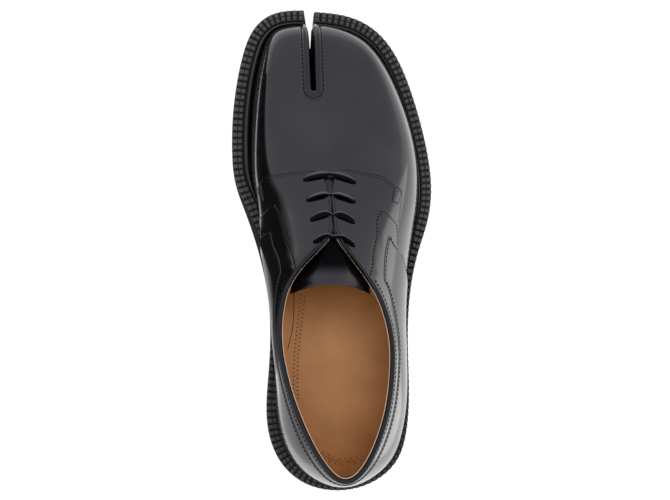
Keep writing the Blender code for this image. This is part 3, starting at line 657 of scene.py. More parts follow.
def tan_leather(name, dark, light, roughness, shaded=False):
    """Undyed leather; a shaded one carries painted light and shade, lighter where the mesh's shade says so.
    """
    finish, tree, shader = new_finish(name, light, roughness)
    cloud = 0.35 if shaded else 0.8
    tone = add_up(tree, vary(tree, noise(tree, 38, 4), 0.0, cloud), vary(tree, noise(tree, 700, 2), 0.0, 0.1))
    if shaded:
        painted_shading = add_node(tree, "Math", {1: PAINTED_SHADING_SHARE}, operation="MULTIPLY")
        tree.links.new(point_shade(tree), painted_shading.inputs[0])
        tone = add_up(tree, tone, painted_shading.outputs["Value"])
    tree.links.new(vary_colour(tree, tone, (dark, light), (0.1, 0.9)), shader.inputs["Base Color"])
    pores = vary(tree, noise(tree, 1800, 3), 0.0, 0.00003)
    tree.links.new(relief(tree, [pores]), shader.inputs["Normal"])
    return finish


def matt_black(name, colour, roughness, scale, depth):
    finish, tree, shader = new_finish(name, colour, roughness)
    darker = tuple(0.55 * part for part in colour)
    tree.links.new(vary_colour(tree, noise(tree, scale, 4), (darker, colour)), shader.inputs["Base Color"])
    grain = vary(tree, noise(tree, scale * 2.5, 3), 0.0, depth)
    tree.links.new(relief(tree, [grain]), shader.inputs["Normal"])
    return finish


INSOLE_LEATHER = tan_leather("insole leather", (0.50, 0.215, 0.056), (0.92, 0.44, 0.135), 0.45, True)
LINING_LEATHER = tan_leather("lining leather", (0.40, 0.21, 0.09), (0.52, 0.29, 0.135), 0.55)
WELT_LEATHER = matt_black("welt leather", (0.050, 0.044, 0.040), 0.46, 500, 0.00008)
# Painted shade: the welt's colour runs from a dark tone in its notches, score line and grooves to a lighter
# one on the block tops.
WELT_TONES = ((0.004, 0.0038, 0.0036), (0.088, 0.080, 0.073))
colour_from_points(WELT_LEATHER, WELT_TONES)
# Painted shade: the needle holes are flat, matt black ovals on the leather, where each hole's shade would be.
NEEDLE_HOLE_SHADE = matt_black("needle hole", (0.003, 0.003, 0.003), 0.9, 900, 0.00002)
set_gloss(NEEDLE_HOLE_SHADE, 0.05)
# Painted shade: the zigzag's holes and the edge of the arch pad are dark tan where their shade would be.
SOCK_HOLE_SHADE = matt_black("sock hole shade", (0.055, 0.024, 0.009), 0.9, 900, 0.00002)
set_gloss(SOCK_HOLE_SHADE, 0.1)
SOLE_RUBBER = matt_black("sole rubber", (0.024, 0.023, 0.023), 0.5, 300, 0.00005)
GUSSET_LEATHER = matt_black("gusset leather", (0.006, 0.006, 0.006), 0.8, 400, 0.00003)
set_gloss(GUSSET_LEATHER, 0.1)
RAW_EDGE = tan_leather("raw edge", (0.78, 0.55, 0.36), (0.90, 0.68, 0.48), 0.6)
BROWN_THREAD = matt_black("brown thread", (0.78, 0.36, 0.105), 0.6, 2500, 0.00004)
print("tan leather, welt, rubber and thread mixed")

# %% [markdown]
# ## Outsole and insole
# Both are plates with a notch at the toe, where the split runs through. Such a plate could be filled
# with one many-sided face, but that face would not follow the toe spring and the waist. Strips from the
# outline to a line down the middle bend with the sole, so the plate is made of strips, in layers from
# the bottom up.

# %% A plate with a toe notch


def plate(outline, notch, spine, layers, cells):
    """Points and faces of a curved plate.  outline(share, side, inset) runs from the notch to the heel; notch
    and spine carry the inner ends of the strips; layers hold an inset and a height, from the bottom up."""
    notch_cells, spine_cells = cells
    count = notch_cells + spine_cells
    points, faces, made = [], [], {}

    def corner(layer, kind, side, i):
        if kind == "inner" and i == 0:
            kind = "outer"
        if (kind == "outer" and i == count) or (kind == "inner" and i >= notch_cells):
            side = 0
        key = (layer, kind, side, i)
        if key not in made:
            inset, height = layers[layer]
            if kind == "outer":
                x, y = outline(i / count, side or 1, inset)
            elif i < notch_cells:
                x, y = notch(i / notch_cells, side)
            else:
                x, y = spine((i - notch_cells) / spine_cells)
            made[key] = len(points)
            points.append((x, y, float(height(y))))
        return made[key]

    last = len(layers) - 1
    for side in (-1, 1):
        for i in range(count):
            for layer in (0, last):
                ring = [corner(layer, "outer", side, i), corner(layer, "outer", side, i + 1)]
                ring.append(corner(layer, "inner", side, i + 1))
                if i > 0:
                    ring.append(corner(layer, "inner", side, i))
                faces.append(ring if (layer == 0) == (side > 0) else ring[::-1])
            for layer in range(last):
                low = [corner(layer, "outer", side, i), corner(layer, "outer", side, i + 1)]
                high = [corner(layer + 1, "outer", side, i + 1), corner(layer + 1, "outer", side, i)]
                faces.append(low + high if side < 0 else (low + high)[::-1])
        for i in range(notch_cells):
            wall = [corner(0, "inner", side, i + 1), corner(last, "inner", side, i + 1)]
            start = [corner(layer, "inner", side, i) for layer in range(last, -1, -1)]
            ring = wall + (start if i == 0 else [start[0], start[-1]])
            faces.append(ring[::-1] if side < 0 else ring)
    return np.array(points), faces


def edge_length(share, side):
    return share * EDGE_HEEL if side < 0 else EDGE_END - share * (EDGE_END - EDGE_HEEL)


# %% The outsole
NOTCH_APEX = np.array((-14.0, 124.5))
SPINE_BACK = np.array((1.6, -112.0))
OUTSOLE_BEVEL = 1.2
OUTSOLE_CELLS = (24, 150)
notch_corner = {side: edge_point(edge_length(0, side), 0) for side in (-1, 1)}


def outsole_spine(share):
    if share == 0:
        return NOTCH_APEX
    edge_share = mix(OUTSOLE_CELLS[0] / sum(OUTSOLE_CELLS), 1.0, share)
    y = np.mean([edge_point(edge_length(edge_share, side), 0)[1] for side in (-1, 1)])
    run = (NOTCH_APEX[1] - y) / (NOTCH_APEX[1] - SPINE_BACK[1])
    return mix(NOTCH_APEX, SPINE_BACK, min(run, 1.0))


outsole_layers = (
    (OUTSOLE_BEVEL, underside),
    (0.3, lambda y: underside(y) + 0.6 * OUTSOLE_BEVEL),
    (0.0, lambda y: underside(y) + 1.6 * OUTSOLE_BEVEL),
    (0.0, lambda y: underside(y) + OUTSOLE_THICKNESS - 0.5),
    (0.3, lambda y: underside(y) + OUTSOLE_THICKNESS),
)
outsole_plate = plate(
    lambda share, side, inset: edge_point(edge_length(share, side), inset),
    lambda share, side: mix(notch_corner[side], NOTCH_APEX, share),
    outsole_spine,
    outsole_layers,
    OUTSOLE_CELLS,
)
show("outsole_dressed", outsole_plate, SOLE_RUBBER, "sole_rubber", "outsole", sharp=30)

# %% The insole
WALL = 2.0
LIP_ROLL = 3.0
SLIT_HALF_GAP = 6.0
SLIT_END_Y = 91.5
INSOLE_THICKNESS = 3.0
INSOLE_CLEARANCE = 0.9
INSOLE_BACK_CLEAR = 1.0
INSOLE_CELLS = (44, 150)
insole_clear = WALL + INSOLE_CLEARANCE
insole_half = SLIT_HALF_GAP - LIP_ROLL + insole_clear + INSOLE_CLEARANCE
insole_end_y = SLIT_END_Y - INSOLE_CLEARANCE
insole_front = np.array([CENTRE(SLIT_END)[0], insole_end_y])


def insole_outline(share, side, inset):
    w = mix(0.0 if side < 0 else LAST_STATION, HEEL_BACK, share)
    s = float(FOOT_LENGTH(w)[0])
    behind_ball = ease((min(w, LAST_STATION - w) - 3.6) / 0.8)
    point = edge_point(s, EDGE(s)[3] + mix(insole_clear, INSOLE_BACK_CLEAR, behind_ball) + inset)
    if share == 0:
        point[0] = CENTRE(0.0)[0] + side * insole_half
    return point


def insole_notch(share, side):
    y = mix(insole_outline(0, side, 0)[1], insole_end_y, share)
    into = min((y - insole_end_y) / insole_half, 1.0)
    half = insole_half * math.sqrt(max(0.0, 1 - (1 - into) ** 2))
    return np.array([CENTRE(SLIT_END * share)[0] + side * half, y])


def insole_spine(share):
    if share == 0:
        return insole_front
    edge_share = mix(INSOLE_CELLS[0] / sum(INSOLE_CELLS), 1.0, share)
    y = np.mean([insole_outline(edge_share, side, 0)[1] for side in (-1, 1)])
    run = (insole_front[1] - y) / (insole_front[1] - SPINE_BACK[1])
    return mix(insole_front, SPINE_BACK, min(run, 1.0))


insole_layers = (
    (0.0, feather_z),
    (0.0, lambda y: feather_z(y) + INSOLE_THICKNESS - 0.7),
    (0.5, lambda y: feather_z(y) + INSOLE_THICKNESS),
)
insole_plate = plate(insole_outline, insole_notch, insole_spine, insole_layers, INSOLE_CELLS)
insole_points = insole_plate[0]
# Painted light and shade: the insole is coloured lightest in a broad strip on the medial side of its middle,
# and darker towards the tongue.
LIGHT_STRIP_X = -14.0
LIGHT_STRIP_HALF = 8.0
LIGHT_STRIP_FADE = 34.0
TONGUE_SHADE_Y = -5.0
TONGUE_SHADE_FADE = 55.0
bed_share = (NOTCH_APEX[1] - insole_points[:, 1]) / (NOTCH_APEX[1] - SPINE_BACK[1])
bed_x = mix(NOTCH_APEX[0], SPINE_BACK[0], bed_share)
from_strip = np.abs(insole_points[:, 0] - bed_x - LIGHT_STRIP_X)
insole_painted_shading = 1 - ease((from_strip - LIGHT_STRIP_HALF) / LIGHT_STRIP_FADE)
insole_painted_shading *= ease((TONGUE_SHADE_Y - insole_points[:, 1]) / TONGUE_SHADE_FADE)
show("insole_dressed", insole_plate, INSOLE_LEATHER, "insole_leather", "insole", sharp=40, shade=insole_painted_shading)

# %% [markdown]
# ## Heel
# The heel is a stack pressed under the seat of the sole: a top piece that wears, a fine groove, and the
# block above it. The edge of the sole already gives its outline, so rings at a few heights are enough,
# each one the same line moved in by its own inset, and cut straight at the breast.

# %% The heel
HEEL_INSET = 1.2
HEEL_TAPER = 1.2
HEEL_LIFT = 6.0
HEEL_GROOVE = 0.6
HEEL_PLACES = 140
HEEL_SEARCH_ROWS = 9


def edge_at_y(y, low, high):
    """The place on the sole's edge, between two places, where the edge crosses y."""
    places = np.linspace(low, high, 4000)
    return places[np.argmin(np.abs(EDGE(places)[:, 1] - y))]


heel_start = edge_at_y(HEEL_BREAST_Y, EDGE_LENGTHS[HEEL_ROW - HEEL_SEARCH_ROWS], EDGE_HEEL)
heel_end = edge_at_y(HEEL_BREAST_Y, EDGE_HEEL, EDGE_LENGTHS[HEEL_ROW + HEEL_SEARCH_ROWS])
heel_side = HEEL_INSET + HEEL_TAPER
heel_rings = (
    (0.0, heel_side + HEEL_GROOVE),
    (HEEL_GROOVE, heel_side),
    (HEEL_LIFT - 0.5 * HEEL_GROOVE, heel_side),
    (HEEL_LIFT, heel_side + HEEL_GROOVE),
    (HEEL_LIFT + 0.7 * HEEL_GROOVE, heel_side + HEEL_GROOVE),
    (HEEL_LIFT + 1.5 * HEEL_GROOVE, heel_side),
    (HEEL_SEAT - SEAT_GAP - 0.4, HEEL_INSET),
    (HEEL_SEAT - SEAT_GAP, HEEL_INSET + 0.4),
)
heel_points, heel_faces = [], []
for z, inset in heel_rings:
    ring = edge_point(np.linspace(heel_start, heel_end, HEEL_PLACES), inset)
    ring[:, 1] = np.minimum(ring[:, 1], HEEL_BREAST_Y)
    heel_points += [(x, y, z) for x, y in ring]
for level in range(len(heel_rings) - 1):
    for i in range(HEEL_PLACES):
        j = (i + 1) % HEEL_PLACES
        low, high = level * HEEL_PLACES, (level + 1) * HEEL_PLACES
        heel_faces.append((low + i, low + j, high + j, high + i))
heel_faces.append(tuple(range(HEEL_PLACES))[::-1])
heel_faces.append(tuple(range(len(heel_points) - HEEL_PLACES, len(heel_points))))
show("heel_dressed", (heel_points, heel_faces), SOLE_RUBBER, "sole_rubber", "heel", sharp=30)

# %% [markdown]
# ## Notched welt
# The welt is a leather strip sewn round the upper. A hot wheel presses notches across it, so it looks
# like a row of small blocks, scored once along the middle. Next to the upper it swells into a plain
# bead. An Array along a curve would stretch the blocks in the bends; here the height is a function of
# the place along the edge and of the share across the strip, sampled just where the blocks turn.

# %% Profile of the welt
WELT_THICKNESS = 4.0
NOTCH_PITCH = 4.0
NOTCH_DEPTH = 2.3
# Place along one block, and its height as a share of the notch's depth.
BLOCK_ALONG = ((0.0, 0.0), (0.13, 0.02), (0.165, 0.72), (0.22, 0.96), (0.34, 1.0), (0.66, 1.0), (0.78, 0.96),
               (0.835, 0.72), (0.87, 0.02))
# Share across the notched strip from its outer edge, drop from the top, share of the notch, and painted
# shade.
STRIP_ACROSS = (
    (0.00, 0.75, 1.0, 0.5),
    (0.03, 0.25, 1.0, 0.9),
    (0.09, 0.02, 1.0, 1.0),
    (0.25, 0.00, 1.0, 1.0),
    (0.455, 0.02, 1.0, 1.0),
    (0.485, 0.90, 1.0, 0.1),
    (0.515, 0.90, 1.0, 0.1),
    (0.545, 0.02, 1.0, 1.0),
    (0.75, 0.00, 1.0, 1.0),
    (0.91, 0.05, 1.0, 1.0),
    (0.96, 0.45, 0.9, 0.5),
    (1.00, 1.35, 0.2, 0.1),
)
# Share across what is left, up to the upper, drop from the top, and painted shade.
BEAD_ACROSS = (
    (0.10, 1.50, 0.1),
    (0.22, 0.75, 0.4),
    (0.33, 0.25, 0.6),
    (0.44, 0.02, 0.6),
    (0.52, 0.00, 0.6),
    (0.62, 0.12, 0.5),
    (0.72, 0.50, 0.3),
    (0.84, 1.20, 0.1),
    (1.00, 2.20, 0.0),
)
STRIP_WIDTH = 6.7
LEAST_BEAD = 0.5


def station_at(s):
    """The station whose rib has its foot at this place on the sole's edge."""
    stations = np.linspace(0, LAST_STATION, 2000)
    return np.interp(s, FOOT_LENGTH(stations)[:, 0], stations)


# %% The welt
# Painted shade makes it darker round the heel: its shade there and in front, where that begins to change,
# and over how far.
WELT_HEEL_SHADE = (0.45, 0.95)
WELT_HEEL_SHADE_Y = -70.0
WELT_HEEL_SHADE_RUN = 90.0
block_count = int(EDGE_END / NOTCH_PITCH)
block_places = np.array([[k + place for place, _ in BLOCK_ALONG] for k in range(block_count)]).ravel()
welt_s = np.append(block_places * EDGE_END / block_count, EDGE_END)
block_height = np.append(np.tile([height for _, height in BLOCK_ALONG], block_count), 0.0)
welt_shelf, welt_reach = EDGE(welt_s)[:, 2], EDGE(welt_s)[:, 3]
welt_lean = np.radians(RIB_SHAPE(station_at(welt_s))[:, 0])
welt_room = welt_reach - welt_shelf - 0.3 - WELT_THICKNESS * np.tan(welt_lean)
strip_width = np.minimum(STRIP_WIDTH, welt_room - LEAST_BEAD)
across_welt = [(share * strip_width, drop, cut, shade) for share, drop, cut, shade in STRIP_ACROSS]
across_welt += [(mix(strip_width, welt_room, share), drop, 0.0, shade) for share, drop, shade in BEAD_ACROSS]
welt_top, welt_foot, welt_shade = [], [], []
for inset, drop, notch_share, shade in across_welt:
    plan = edge_point(welt_s, welt_shelf + inset)
    base = underside(plan[:, 1]) + OUTSOLE_THICKNESS + 0.05
    notch_cut = notch_share * NOTCH_DEPTH * (1 - block_height)
    welt_top.append(np.column_stack([plan, base + WELT_THICKNESS - np.maximum(drop, notch_cut)]))
    welt_foot.append(np.column_stack([plan, base]))
    painted_shading = mix(*WELT_HEEL_SHADE, ease((plan[:, 1] - WELT_HEEL_SHADE_Y) / WELT_HEEL_SHADE_RUN))
    welt_shade.append(painted_shading * shade * mix(1.0, block_height**2, min(notch_share, 1.0)))
welt_grid = sheet(np.stack(welt_top, 1), np.stack(welt_foot, 1))
welt_shade = np.tile(np.stack(welt_shade, 1).ravel(), 2)
show("welt_dressed", welt_grid, WELT_LEATHER, "welt", "welt", sharp=50, shade=welt_shade)
print(f"{block_count} blocks round the welt")

# %% [markdown]
# ## Where the leather opens
# The upper opens twice over the middle of the foot: the split at the toe, which is a long U, and the
# throat under the laces, a narrow V. Each rib simply stops where the gap begins, so the height of that
# place is found by halving the rib again and again. A Boolean cut would leave a ragged row of slivers
# on such thin leather.

# %% Edges of the split and the throat
THROAT_FRONT_Y = 45.0
THROAT_CLOSED_Y = 30.0
THROAT_TOP_Y = float(CENTRE(THROAT_TOP)[1])
THROAT_FRONT_HALF_GAP = 3.2
THROAT_CLOSED_HALF_GAP = 0.4
THROAT_END_RUN = 8.0
SEAM_HALF_GAP = 6.0
BISECTIONS = 30


def half_gap(q, y):
    into = np.clip((y - SLIT_END_Y) / SEAM_HALF_GAP, 0, 1)
    slit = SEAM_HALF_GAP * np.sqrt(np.maximum(0, 1 - (1 - into) ** 2))
    share = ease((y - THROAT_CLOSED_Y) / (THROAT_FRONT_Y - THROAT_CLOSED_Y))
    half_gap = mix(THROAT_CLOSED_HALF_GAP, THROAT_FRONT_HALF_GAP, share)
    throat = half_gap * ease((y - THROAT_TOP_Y) / THROAT_END_RUN)
    return np.where(q < SLIT_END, slit, np.where(q < THROAT_FRONT, 0.0, throat))


def edge_height(w):
    """How far up its rib the leather reaches before the split or the throat opens."""
    q = half_station(w)
    whole = (q >= THROAT_TOP) | ((q >= SLIT_END) & (q < THROAT_FRONT))
    low, high = np.zeros_like(q), np.ones_like(q)
    for _ in range(BISECTIONS):
        middle = (low + high) / 2
        point = skin_point(w, middle)
        inside = np.abs(point[..., 0] - CENTRE(q)[..., 0]) > half_gap(q, point[..., 1])
        low, high = np.where(inside, middle, low), np.where(inside, high, middle)
    return np.where(whole, 1.0, low)


def even_stations(first, last, top_step, foot_step):
    """Stations whose ribs stand about so many millimetres apart, at the top line and at the foot."""
    w = np.linspace(first, last, 500)
    top, foot = skin_point(w, edge_height(w)), skin_point(w, 0.0)
    top_pace = np.linalg.norm(np.diff(top, axis=0), axis=1) / top_step
    foot_pace = np.linalg.norm(np.diff(foot, axis=0), axis=1) / foot_step
    run = np.concatenate([[0], np.cumsum(np.maximum(top_pace, foot_pace))])
    return np.interp(np.linspace(0, run[-1], int(np.ceil(run[-1])) + 1), run, w)


# %% [markdown]
# ## The upper
# One skin of leather runs from the toe to the heel, under the panels too. At the split the leather is
# sewn to a gusset: a seam is pulled tight round the U, and between seam and split the leather rolls
# over as a full, soft lip and goes straight down to the sole. So the skin gets a fine groove along the
# seam, and a second grid, the lip, goes on from its edge. The two grids are welded there, and the two
# halves are welded along the ridge.

# %% Skin of the upper
LEATHER = 1.2
FIRST_STATION = 0.06
LAST_RIDGE = 3.485
SEAM_DEPTH = 0.65
SEAM_WIDTH = 0.85
PUNCH_RADIUS = 1.5
PUNCH_DEPTH = 6.0
HOLES_MEDIAL = ((3.573, 0.863), (3.912, 0.85), (4.227, 0.861), (4.543, 0.925))
HOLES_LATERAL = ((13.311, 0.885), (13.02, 0.887), (12.715, 0.889), (12.416, 0.928))
LACE_HOLES = np.array(HOLES_MEDIAL + HOLES_LATERAL)
hole_middles = skin_point(LACE_HOLES[:, 0], LACE_HOLES[:, 1])
hole_axes = skin_normal(LACE_HOLES[:, 0], LACE_HOLES[:, 1])


def punch(grids, radius):
    """Cells of a grid that stay when the lace holes are punched; their rims are drawn to true circles."""
    grid = grids[0]
    keep = np.ones((grid.shape[0] - 1, grid.shape[1] - 1), bool)
    cell_middles = (grid[:-1, :-1] + grid[1:, 1:] + grid[1:, :-1] + grid[:-1, 1:]) / 4
    for middle, axis in zip(hole_middles, hole_axes):
        away = cell_middles - middle
        height = away @ axis
        reach = np.linalg.norm(away - height[..., None] * axis, axis=-1)
        inside = (reach < radius) & (np.abs(height) < PUNCH_DEPTH)
        keep &= ~inside
        cut, kept = np.pad(inside, 1), np.pad(~inside, 1)
        ends = (slice(0, -1), slice(1, None))
        corners = [(a, b) for b in ends for a in ends]
        rim = np.any([cut[c] for c in corners], 0) & np.any([kept[c] for c in corners], 0)
        for one in grids:
            off = one[rim] - middle
            tall = (off @ axis)[:, None] * axis
            one[rim] = middle + tall + unit(off - tall) * radius
    return keep


half_stations = np.unique(np.concatenate([
    even_stations(FIRST_STATION, SLIT_END, 0.7, 1.3),
    even_stations(SLIT_END, LAST_RIDGE, 1.3, 1.3),
    even_stations(THROAT_FRONT, THROAT_TOP, 1.2, 1.3),
    even_stations(THROAT_TOP, HEEL_BACK, 1.4, 1.4),
]))
stations = np.concatenate([half_stations, LAST_STATION - half_stations[-2::-1]])
heights = np.concatenate([np.linspace(0, 0.96, 52), [0.97, 0.978, 0.984, 0.99, 0.995, 1.0]])
skin_w = np.repeat(stations[:, None], len(heights), 1)
skin_t = heights[None, :] * edge_height(stations)[:, None]
skin_out = skin_point(skin_w, skin_t)
skin_n = skin_normal(skin_w, skin_t)
station_q = half_station(stations)
at_slit = station_q <= SLIT_END + 1e-6
on_ridge = (station_q >= SLIT_END - 1e-6) & (station_q <= LAST_RIDGE + 1e-6)
skin_n[on_ridge, -1] = unit(skin_n[on_ridge, -1] + skin_n[on_ridge, -1][::-1])
skin_out[on_ridge, -1] = (skin_out[on_ridge, -1] + skin_out[on_ridge, -1][::-1]) / 2
to_seam = np.linalg.norm(skin_out - skin_out[:, -1:], axis=-1)
groove = np.where(at_slit[:, None], SEAM_DEPTH * np.exp(-((to_seam / SEAM_WIDTH) ** 2)), 0.0)
skin_out = skin_out - skin_n * groove[..., None]
skin_in = skin_out - skin_n * LEATHER
print(f"skin of {len(stations)} ribs by {len(heights)} heights")

# %% Lip of the split
LIP_START = math.radians(-38)
LIP_ANGLES = np.linspace(LIP_START, math.pi / 2, 16)
# How far the lip reaches over the split: station, reach on the medial side, reach on the lateral side.
LIP_REACH = ((0.0, 3.3, 3.5), (0.5, 4.0, 4.3), (1.0, 4.6, 4.8), (2.0, 5.2, 5.2))
LIP_RISE = 2.9
WALL_SHARES = (0.1, 0.25, 0.45, 0.7, 1.0)
lip_rows = np.flatnonzero(at_slit)
lip_q = station_q[lip_rows]
lip_normal = skin_n[lip_rows, -1]
lip_top = skin_out[lip_rows, -1] + lip_normal * SEAM_DEPTH
lip_gap_x = CENTRE(lip_q)[:, 0] - lip_top[:, 0]
lip_gap_y = np.maximum(SLIT_END_Y + SEAM_HALF_GAP - lip_top[:, 1], 0.0)
lip_inward = unit(flat(lip_gap_x, lip_gap_y))
lip_inward = unit(lip_inward - lip_normal * np.sum(lip_inward * lip_normal, -1, keepdims=True))
lip_reaches = smooth_curve(LIP_REACH)(lip_q)
on_medial = stations[lip_rows] < HEEL_BACK
lip_reach = np.where(on_medial, lip_reaches[:, 0], lip_reaches[:, 1])[:, None]
lip_radius = lip_reach / (1 - math.sin(LIP_START))
lip_points, lip_normals = [], []
for angle in LIP_ANGLES:
    across_lip = lip_radius * (math.sin(angle) - math.sin(LIP_START))
    seam = SEAM_DEPTH * np.exp(-((across_lip / SEAM_WIDTH) ** 2))
    rise = LIP_RISE * (math.cos(angle) - math.cos(LIP_START))
    lip_points.append(lip_top + across_lip * lip_inward + (rise - seam) * lip_normal)
    lip_normals.append(lip_normal * math.cos(angle) + lip_inward * math.sin(angle))
wall_top = lip_points[-1]
wall_normal = unit(lip_normals[-1] * np.array([1.0, 1.0, 0.0]))
wall_foot = np.column_stack([wall_top[:, :2], feather_z(wall_top[:, 1])])
for share in WALL_SHARES:
    lip_points.append(mix(wall_top, wall_foot, share))
    lip_normals.append(wall_normal)
lip_out = np.stack(lip_points, 1)
lip_in = lip_out - np.stack(lip_normals, 1) * LEATHER
lip_out[:, 0], lip_in[:, 0] = skin_out[lip_rows, -1], skin_in[lip_rows, -1]

# %% Join the skin and the lip
GUSSET_ROW = len(LIP_ANGLES) - 1
lip_end = GUSSET_ROW + 1
lip_joined = np.ones(len(lip_rows) - 1, bool)
both_slit = at_slit[:-1] & at_slit[1:]
both_ridge = on_ridge[:-1] & on_ridge[1:]
skin_keep = punch([skin_out, skin_in], PUNCH_RADIUS + 0.3)
upper_mesh = join(
    sheet(skin_out, skin_in, skin_keep, joined_high=both_slit | both_ridge),
    sheet(lip_out[:, :lip_end], lip_in[:, :lip_end], joined_low=lip_joined),
)

# %% Shine of the upper
LIP_SHINE = 0.33
VAMP_SHINE = 0.5
SHINE_FADE = 1.5
LIP_END_ROOM = 3.0
upper_points = upper_mesh[0]
behind_slit = np.minimum(upper_points[:, 1] - SLIT_END_Y - LIP_END_ROOM, 0)
from_slit = np.hypot(upper_points[:, 0] - CENTRE(1.0)[0], behind_slit)
upper_shine = mix(LIP_SHINE, VAMP_SHINE, ease((from_slit - SEAM_HALF_GAP) / SHINE_FADE + 1))
show("upper_dressed", upper_mesh, UPPER_LEATHER, "upper_leather", "upper", weld=True, shade=upper_shine)
gusset_mesh = sheet(lip_out[:, GUSSET_ROW:], lip_in[:, GUSSET_ROW:])
show("toe_gusset", gusset_mesh, GUSSET_LEATHER, "upper_leather")

# %% [markdown]
# ## Lining
# The lining is a second, thinner skin inside the first. It shows through the collar, and its raw edge
# is the thin pale line all round the opening. It is the same grid, moved inwards by the leather's
# thickness. The very edge is a piece of its own, because it is raw and paler.

# %% The lining
LINING_GAP = 0.05
LINING_FIRST = 2.3
LINING_EDGE = 0.45
lining_half = np.concatenate([
    even_stations(LINING_FIRST, LAST_RIDGE, 2.5, 2.5),
    even_stations(THROAT_FRONT, THROAT_TOP, 1.6, 2.0),
    even_stations(THROAT_TOP, HEEL_BACK, 1.6, 2.0)[1:],
])
lining_stations = np.concatenate([lining_half, LAST_STATION - lining_half[-2::-1]])
lining_heights = np.concatenate([np.linspace(0.02, 0.985, 44), [0.993, 0.999]])
lining_w = np.repeat(lining_stations[:, None], len(lining_heights), 1)
lining_t = lining_heights[None, :] * edge_height(lining_stations)[:, None]
lining_normal = skin_normal(lining_w, lining_t)
lining_out = skin_point(lining_w, lining_t) - lining_normal * (LEATHER + LINING_GAP)
lining_thick = mix(WALL - LEATHER - LINING_GAP, LINING_EDGE, ease(lining_t * 20 - 19))
lining_in = lining_out - lining_normal * lining_thick[..., None]
lining_keep = punch([lining_out, lining_in], PUNCH_RADIUS + 0.5)
lining_mesh = sheet(lining_out[:, :-1], lining_in[:, :-1], lining_keep[:, :-1])
show("lining", lining_mesh, LINING_LEATHER, "insole_leather")
show("lining_edge", sheet(lining_out[:, -2:], lining_in[:, -2:]), RAW_EDGE, "insole_leather")

# %% [markdown]
# ## Panels
# The back of the upper is built in laps: the facings carry the lace holes and lie on the vamp, the
# collar panel laps over the facings, and the counter laps over the collar panel round the heel. Each
# panel is a table of strips, with the station and height of its first and second edge. Its edge is
# skived thin and rounded, so the height falls off in the last millimetre, and a stitch line is pulled a
# little into the leather.

# %% Tables of the panels
FACING_MEDIAL = (
    (3.57, 0.30, 4.04, 0.26),
    (3.46, 0.43, 3.99, 0.37),
    (3.37, 0.60, 3.94, 0.47),
    (3.36, 0.79, 3.885, 0.56),
    (3.42, 0.955, 3.99, 0.585),
    (3.53, 1.00, 4.10, 0.605),
    (3.80, 1.00, 4.24, 0.63),
    (4.15, 1.00, 4.37, 0.655),
    (4.48, 0.99, 4.53, 0.715),
    (4.66, 0.98, 4.70, 0.835),
    (4.80, 0.98, 4.82, 0.96),
)
FACING_LATERAL = (
    (13.19, 0.52, 12.67, 0.515),
    (13.30, 0.63, 12.75, 0.57),
    (13.39, 0.70, 12.84, 0.64),
    (13.46, 0.79, 12.925, 0.705),
    (13.56, 0.96, 12.84, 0.725),
    (13.47, 1.00, 12.75, 0.74),
    (13.20, 1.00, 12.64, 0.742),
    (12.85, 1.00, 12.53, 0.742),
    (12.52, 0.99, 12.36, 0.80),
    (12.34, 0.98, 12.21, 0.88),
    (12.13, 0.98, 12.11, 0.955),
)
COLLAR_PANEL = (
    (4.075, 0.26, 4.33, 0.27),
    (3.995, 0.41, 4.295, 0.38),
    (3.92, 0.545, 4.27, 0.475),
    (4.13, 0.595, 4.38, 0.50),
    (4.37, 0.635, 4.52, 0.54),
    (4.55, 0.70, 4.68, 0.64),
    (4.72, 0.83, 4.80, 0.735),
    (4.85, 0.975, 4.895, 0.805),
    (5.05, 0.98, 5.08, 0.81),
    (5.40, 0.98, 5.42, 0.815),
    (6.00, 0.98, 6.00, 0.825),
    (6.80, 0.98, 6.80, 0.835),
    (7.60, 0.98, 7.60, 0.84),
    (8.50, 0.98, 8.50, 0.845),
    (9.40, 0.98, 9.40, 0.84),
    (10.20, 0.98, 10.20, 0.835),
    (11.00, 0.98, 11.00, 0.81),
    (11.55, 0.98, 11.50, 0.785),
    (11.90, 0.98, 11.85, 0.79),
    (12.08, 0.975, 11.99, 0.82),
    (12.18, 0.87, 12.08, 0.78),
    (12.345, 0.785, 12.18, 0.735),
    (12.53, 0.725, 12.33, 0.68),
    (12.74, 0.722, 12.455, 0.64),
    (12.875, 0.69, 12.555, 0.62),
    (12.775, 0.615, 12.455, 0.56),
    (12.635, 0.525, 12.36, 0.495),
)
COUNTER = (
    (4.35, 0.29, 4.45, 0.245),
    (4.325, 0.38, 4.52, 0.235),
    (4.305, 0.46, 4.62, 0.215),
    (4.40, 0.485, 4.73, 0.19),
    (4.54, 0.525, 4.84, 0.165),
    (4.70, 0.625, 4.95, 0.14),
    (4.82, 0.72, 5.05, 0.12),
    (4.91, 0.785, 5.15, 0.11),
    (5.08, 0.79, 5.28, 0.105),
    (5.42, 0.795, 5.50, 0.10),
    (6.00, 0.805, 6.00, 0.10),
    (6.80, 0.815, 6.80, 0.10),
    (7.60, 0.82, 7.60, 0.10),
    (8.50, 0.825, 8.50, 0.10),
    (9.40, 0.82, 9.40, 0.10),
    (10.20, 0.815, 10.20, 0.10),
    (11.00, 0.79, 10.90, 0.10),
    (11.50, 0.765, 11.40, 0.105),
    (11.84, 0.77, 11.62, 0.11),
    (11.97, 0.795, 11.74, 0.12),
    (12.06, 0.76, 11.83, 0.165),
    (12.165, 0.715, 11.92, 0.225),
    (12.31, 0.66, 12.01, 0.295),
    (12.44, 0.62, 12.09, 0.355),
    (12.50, 0.607, 12.16, 0.40),
    (12.415, 0.58, 12.23, 0.43),
    (12.345, 0.53, 12.26, 0.445),
)
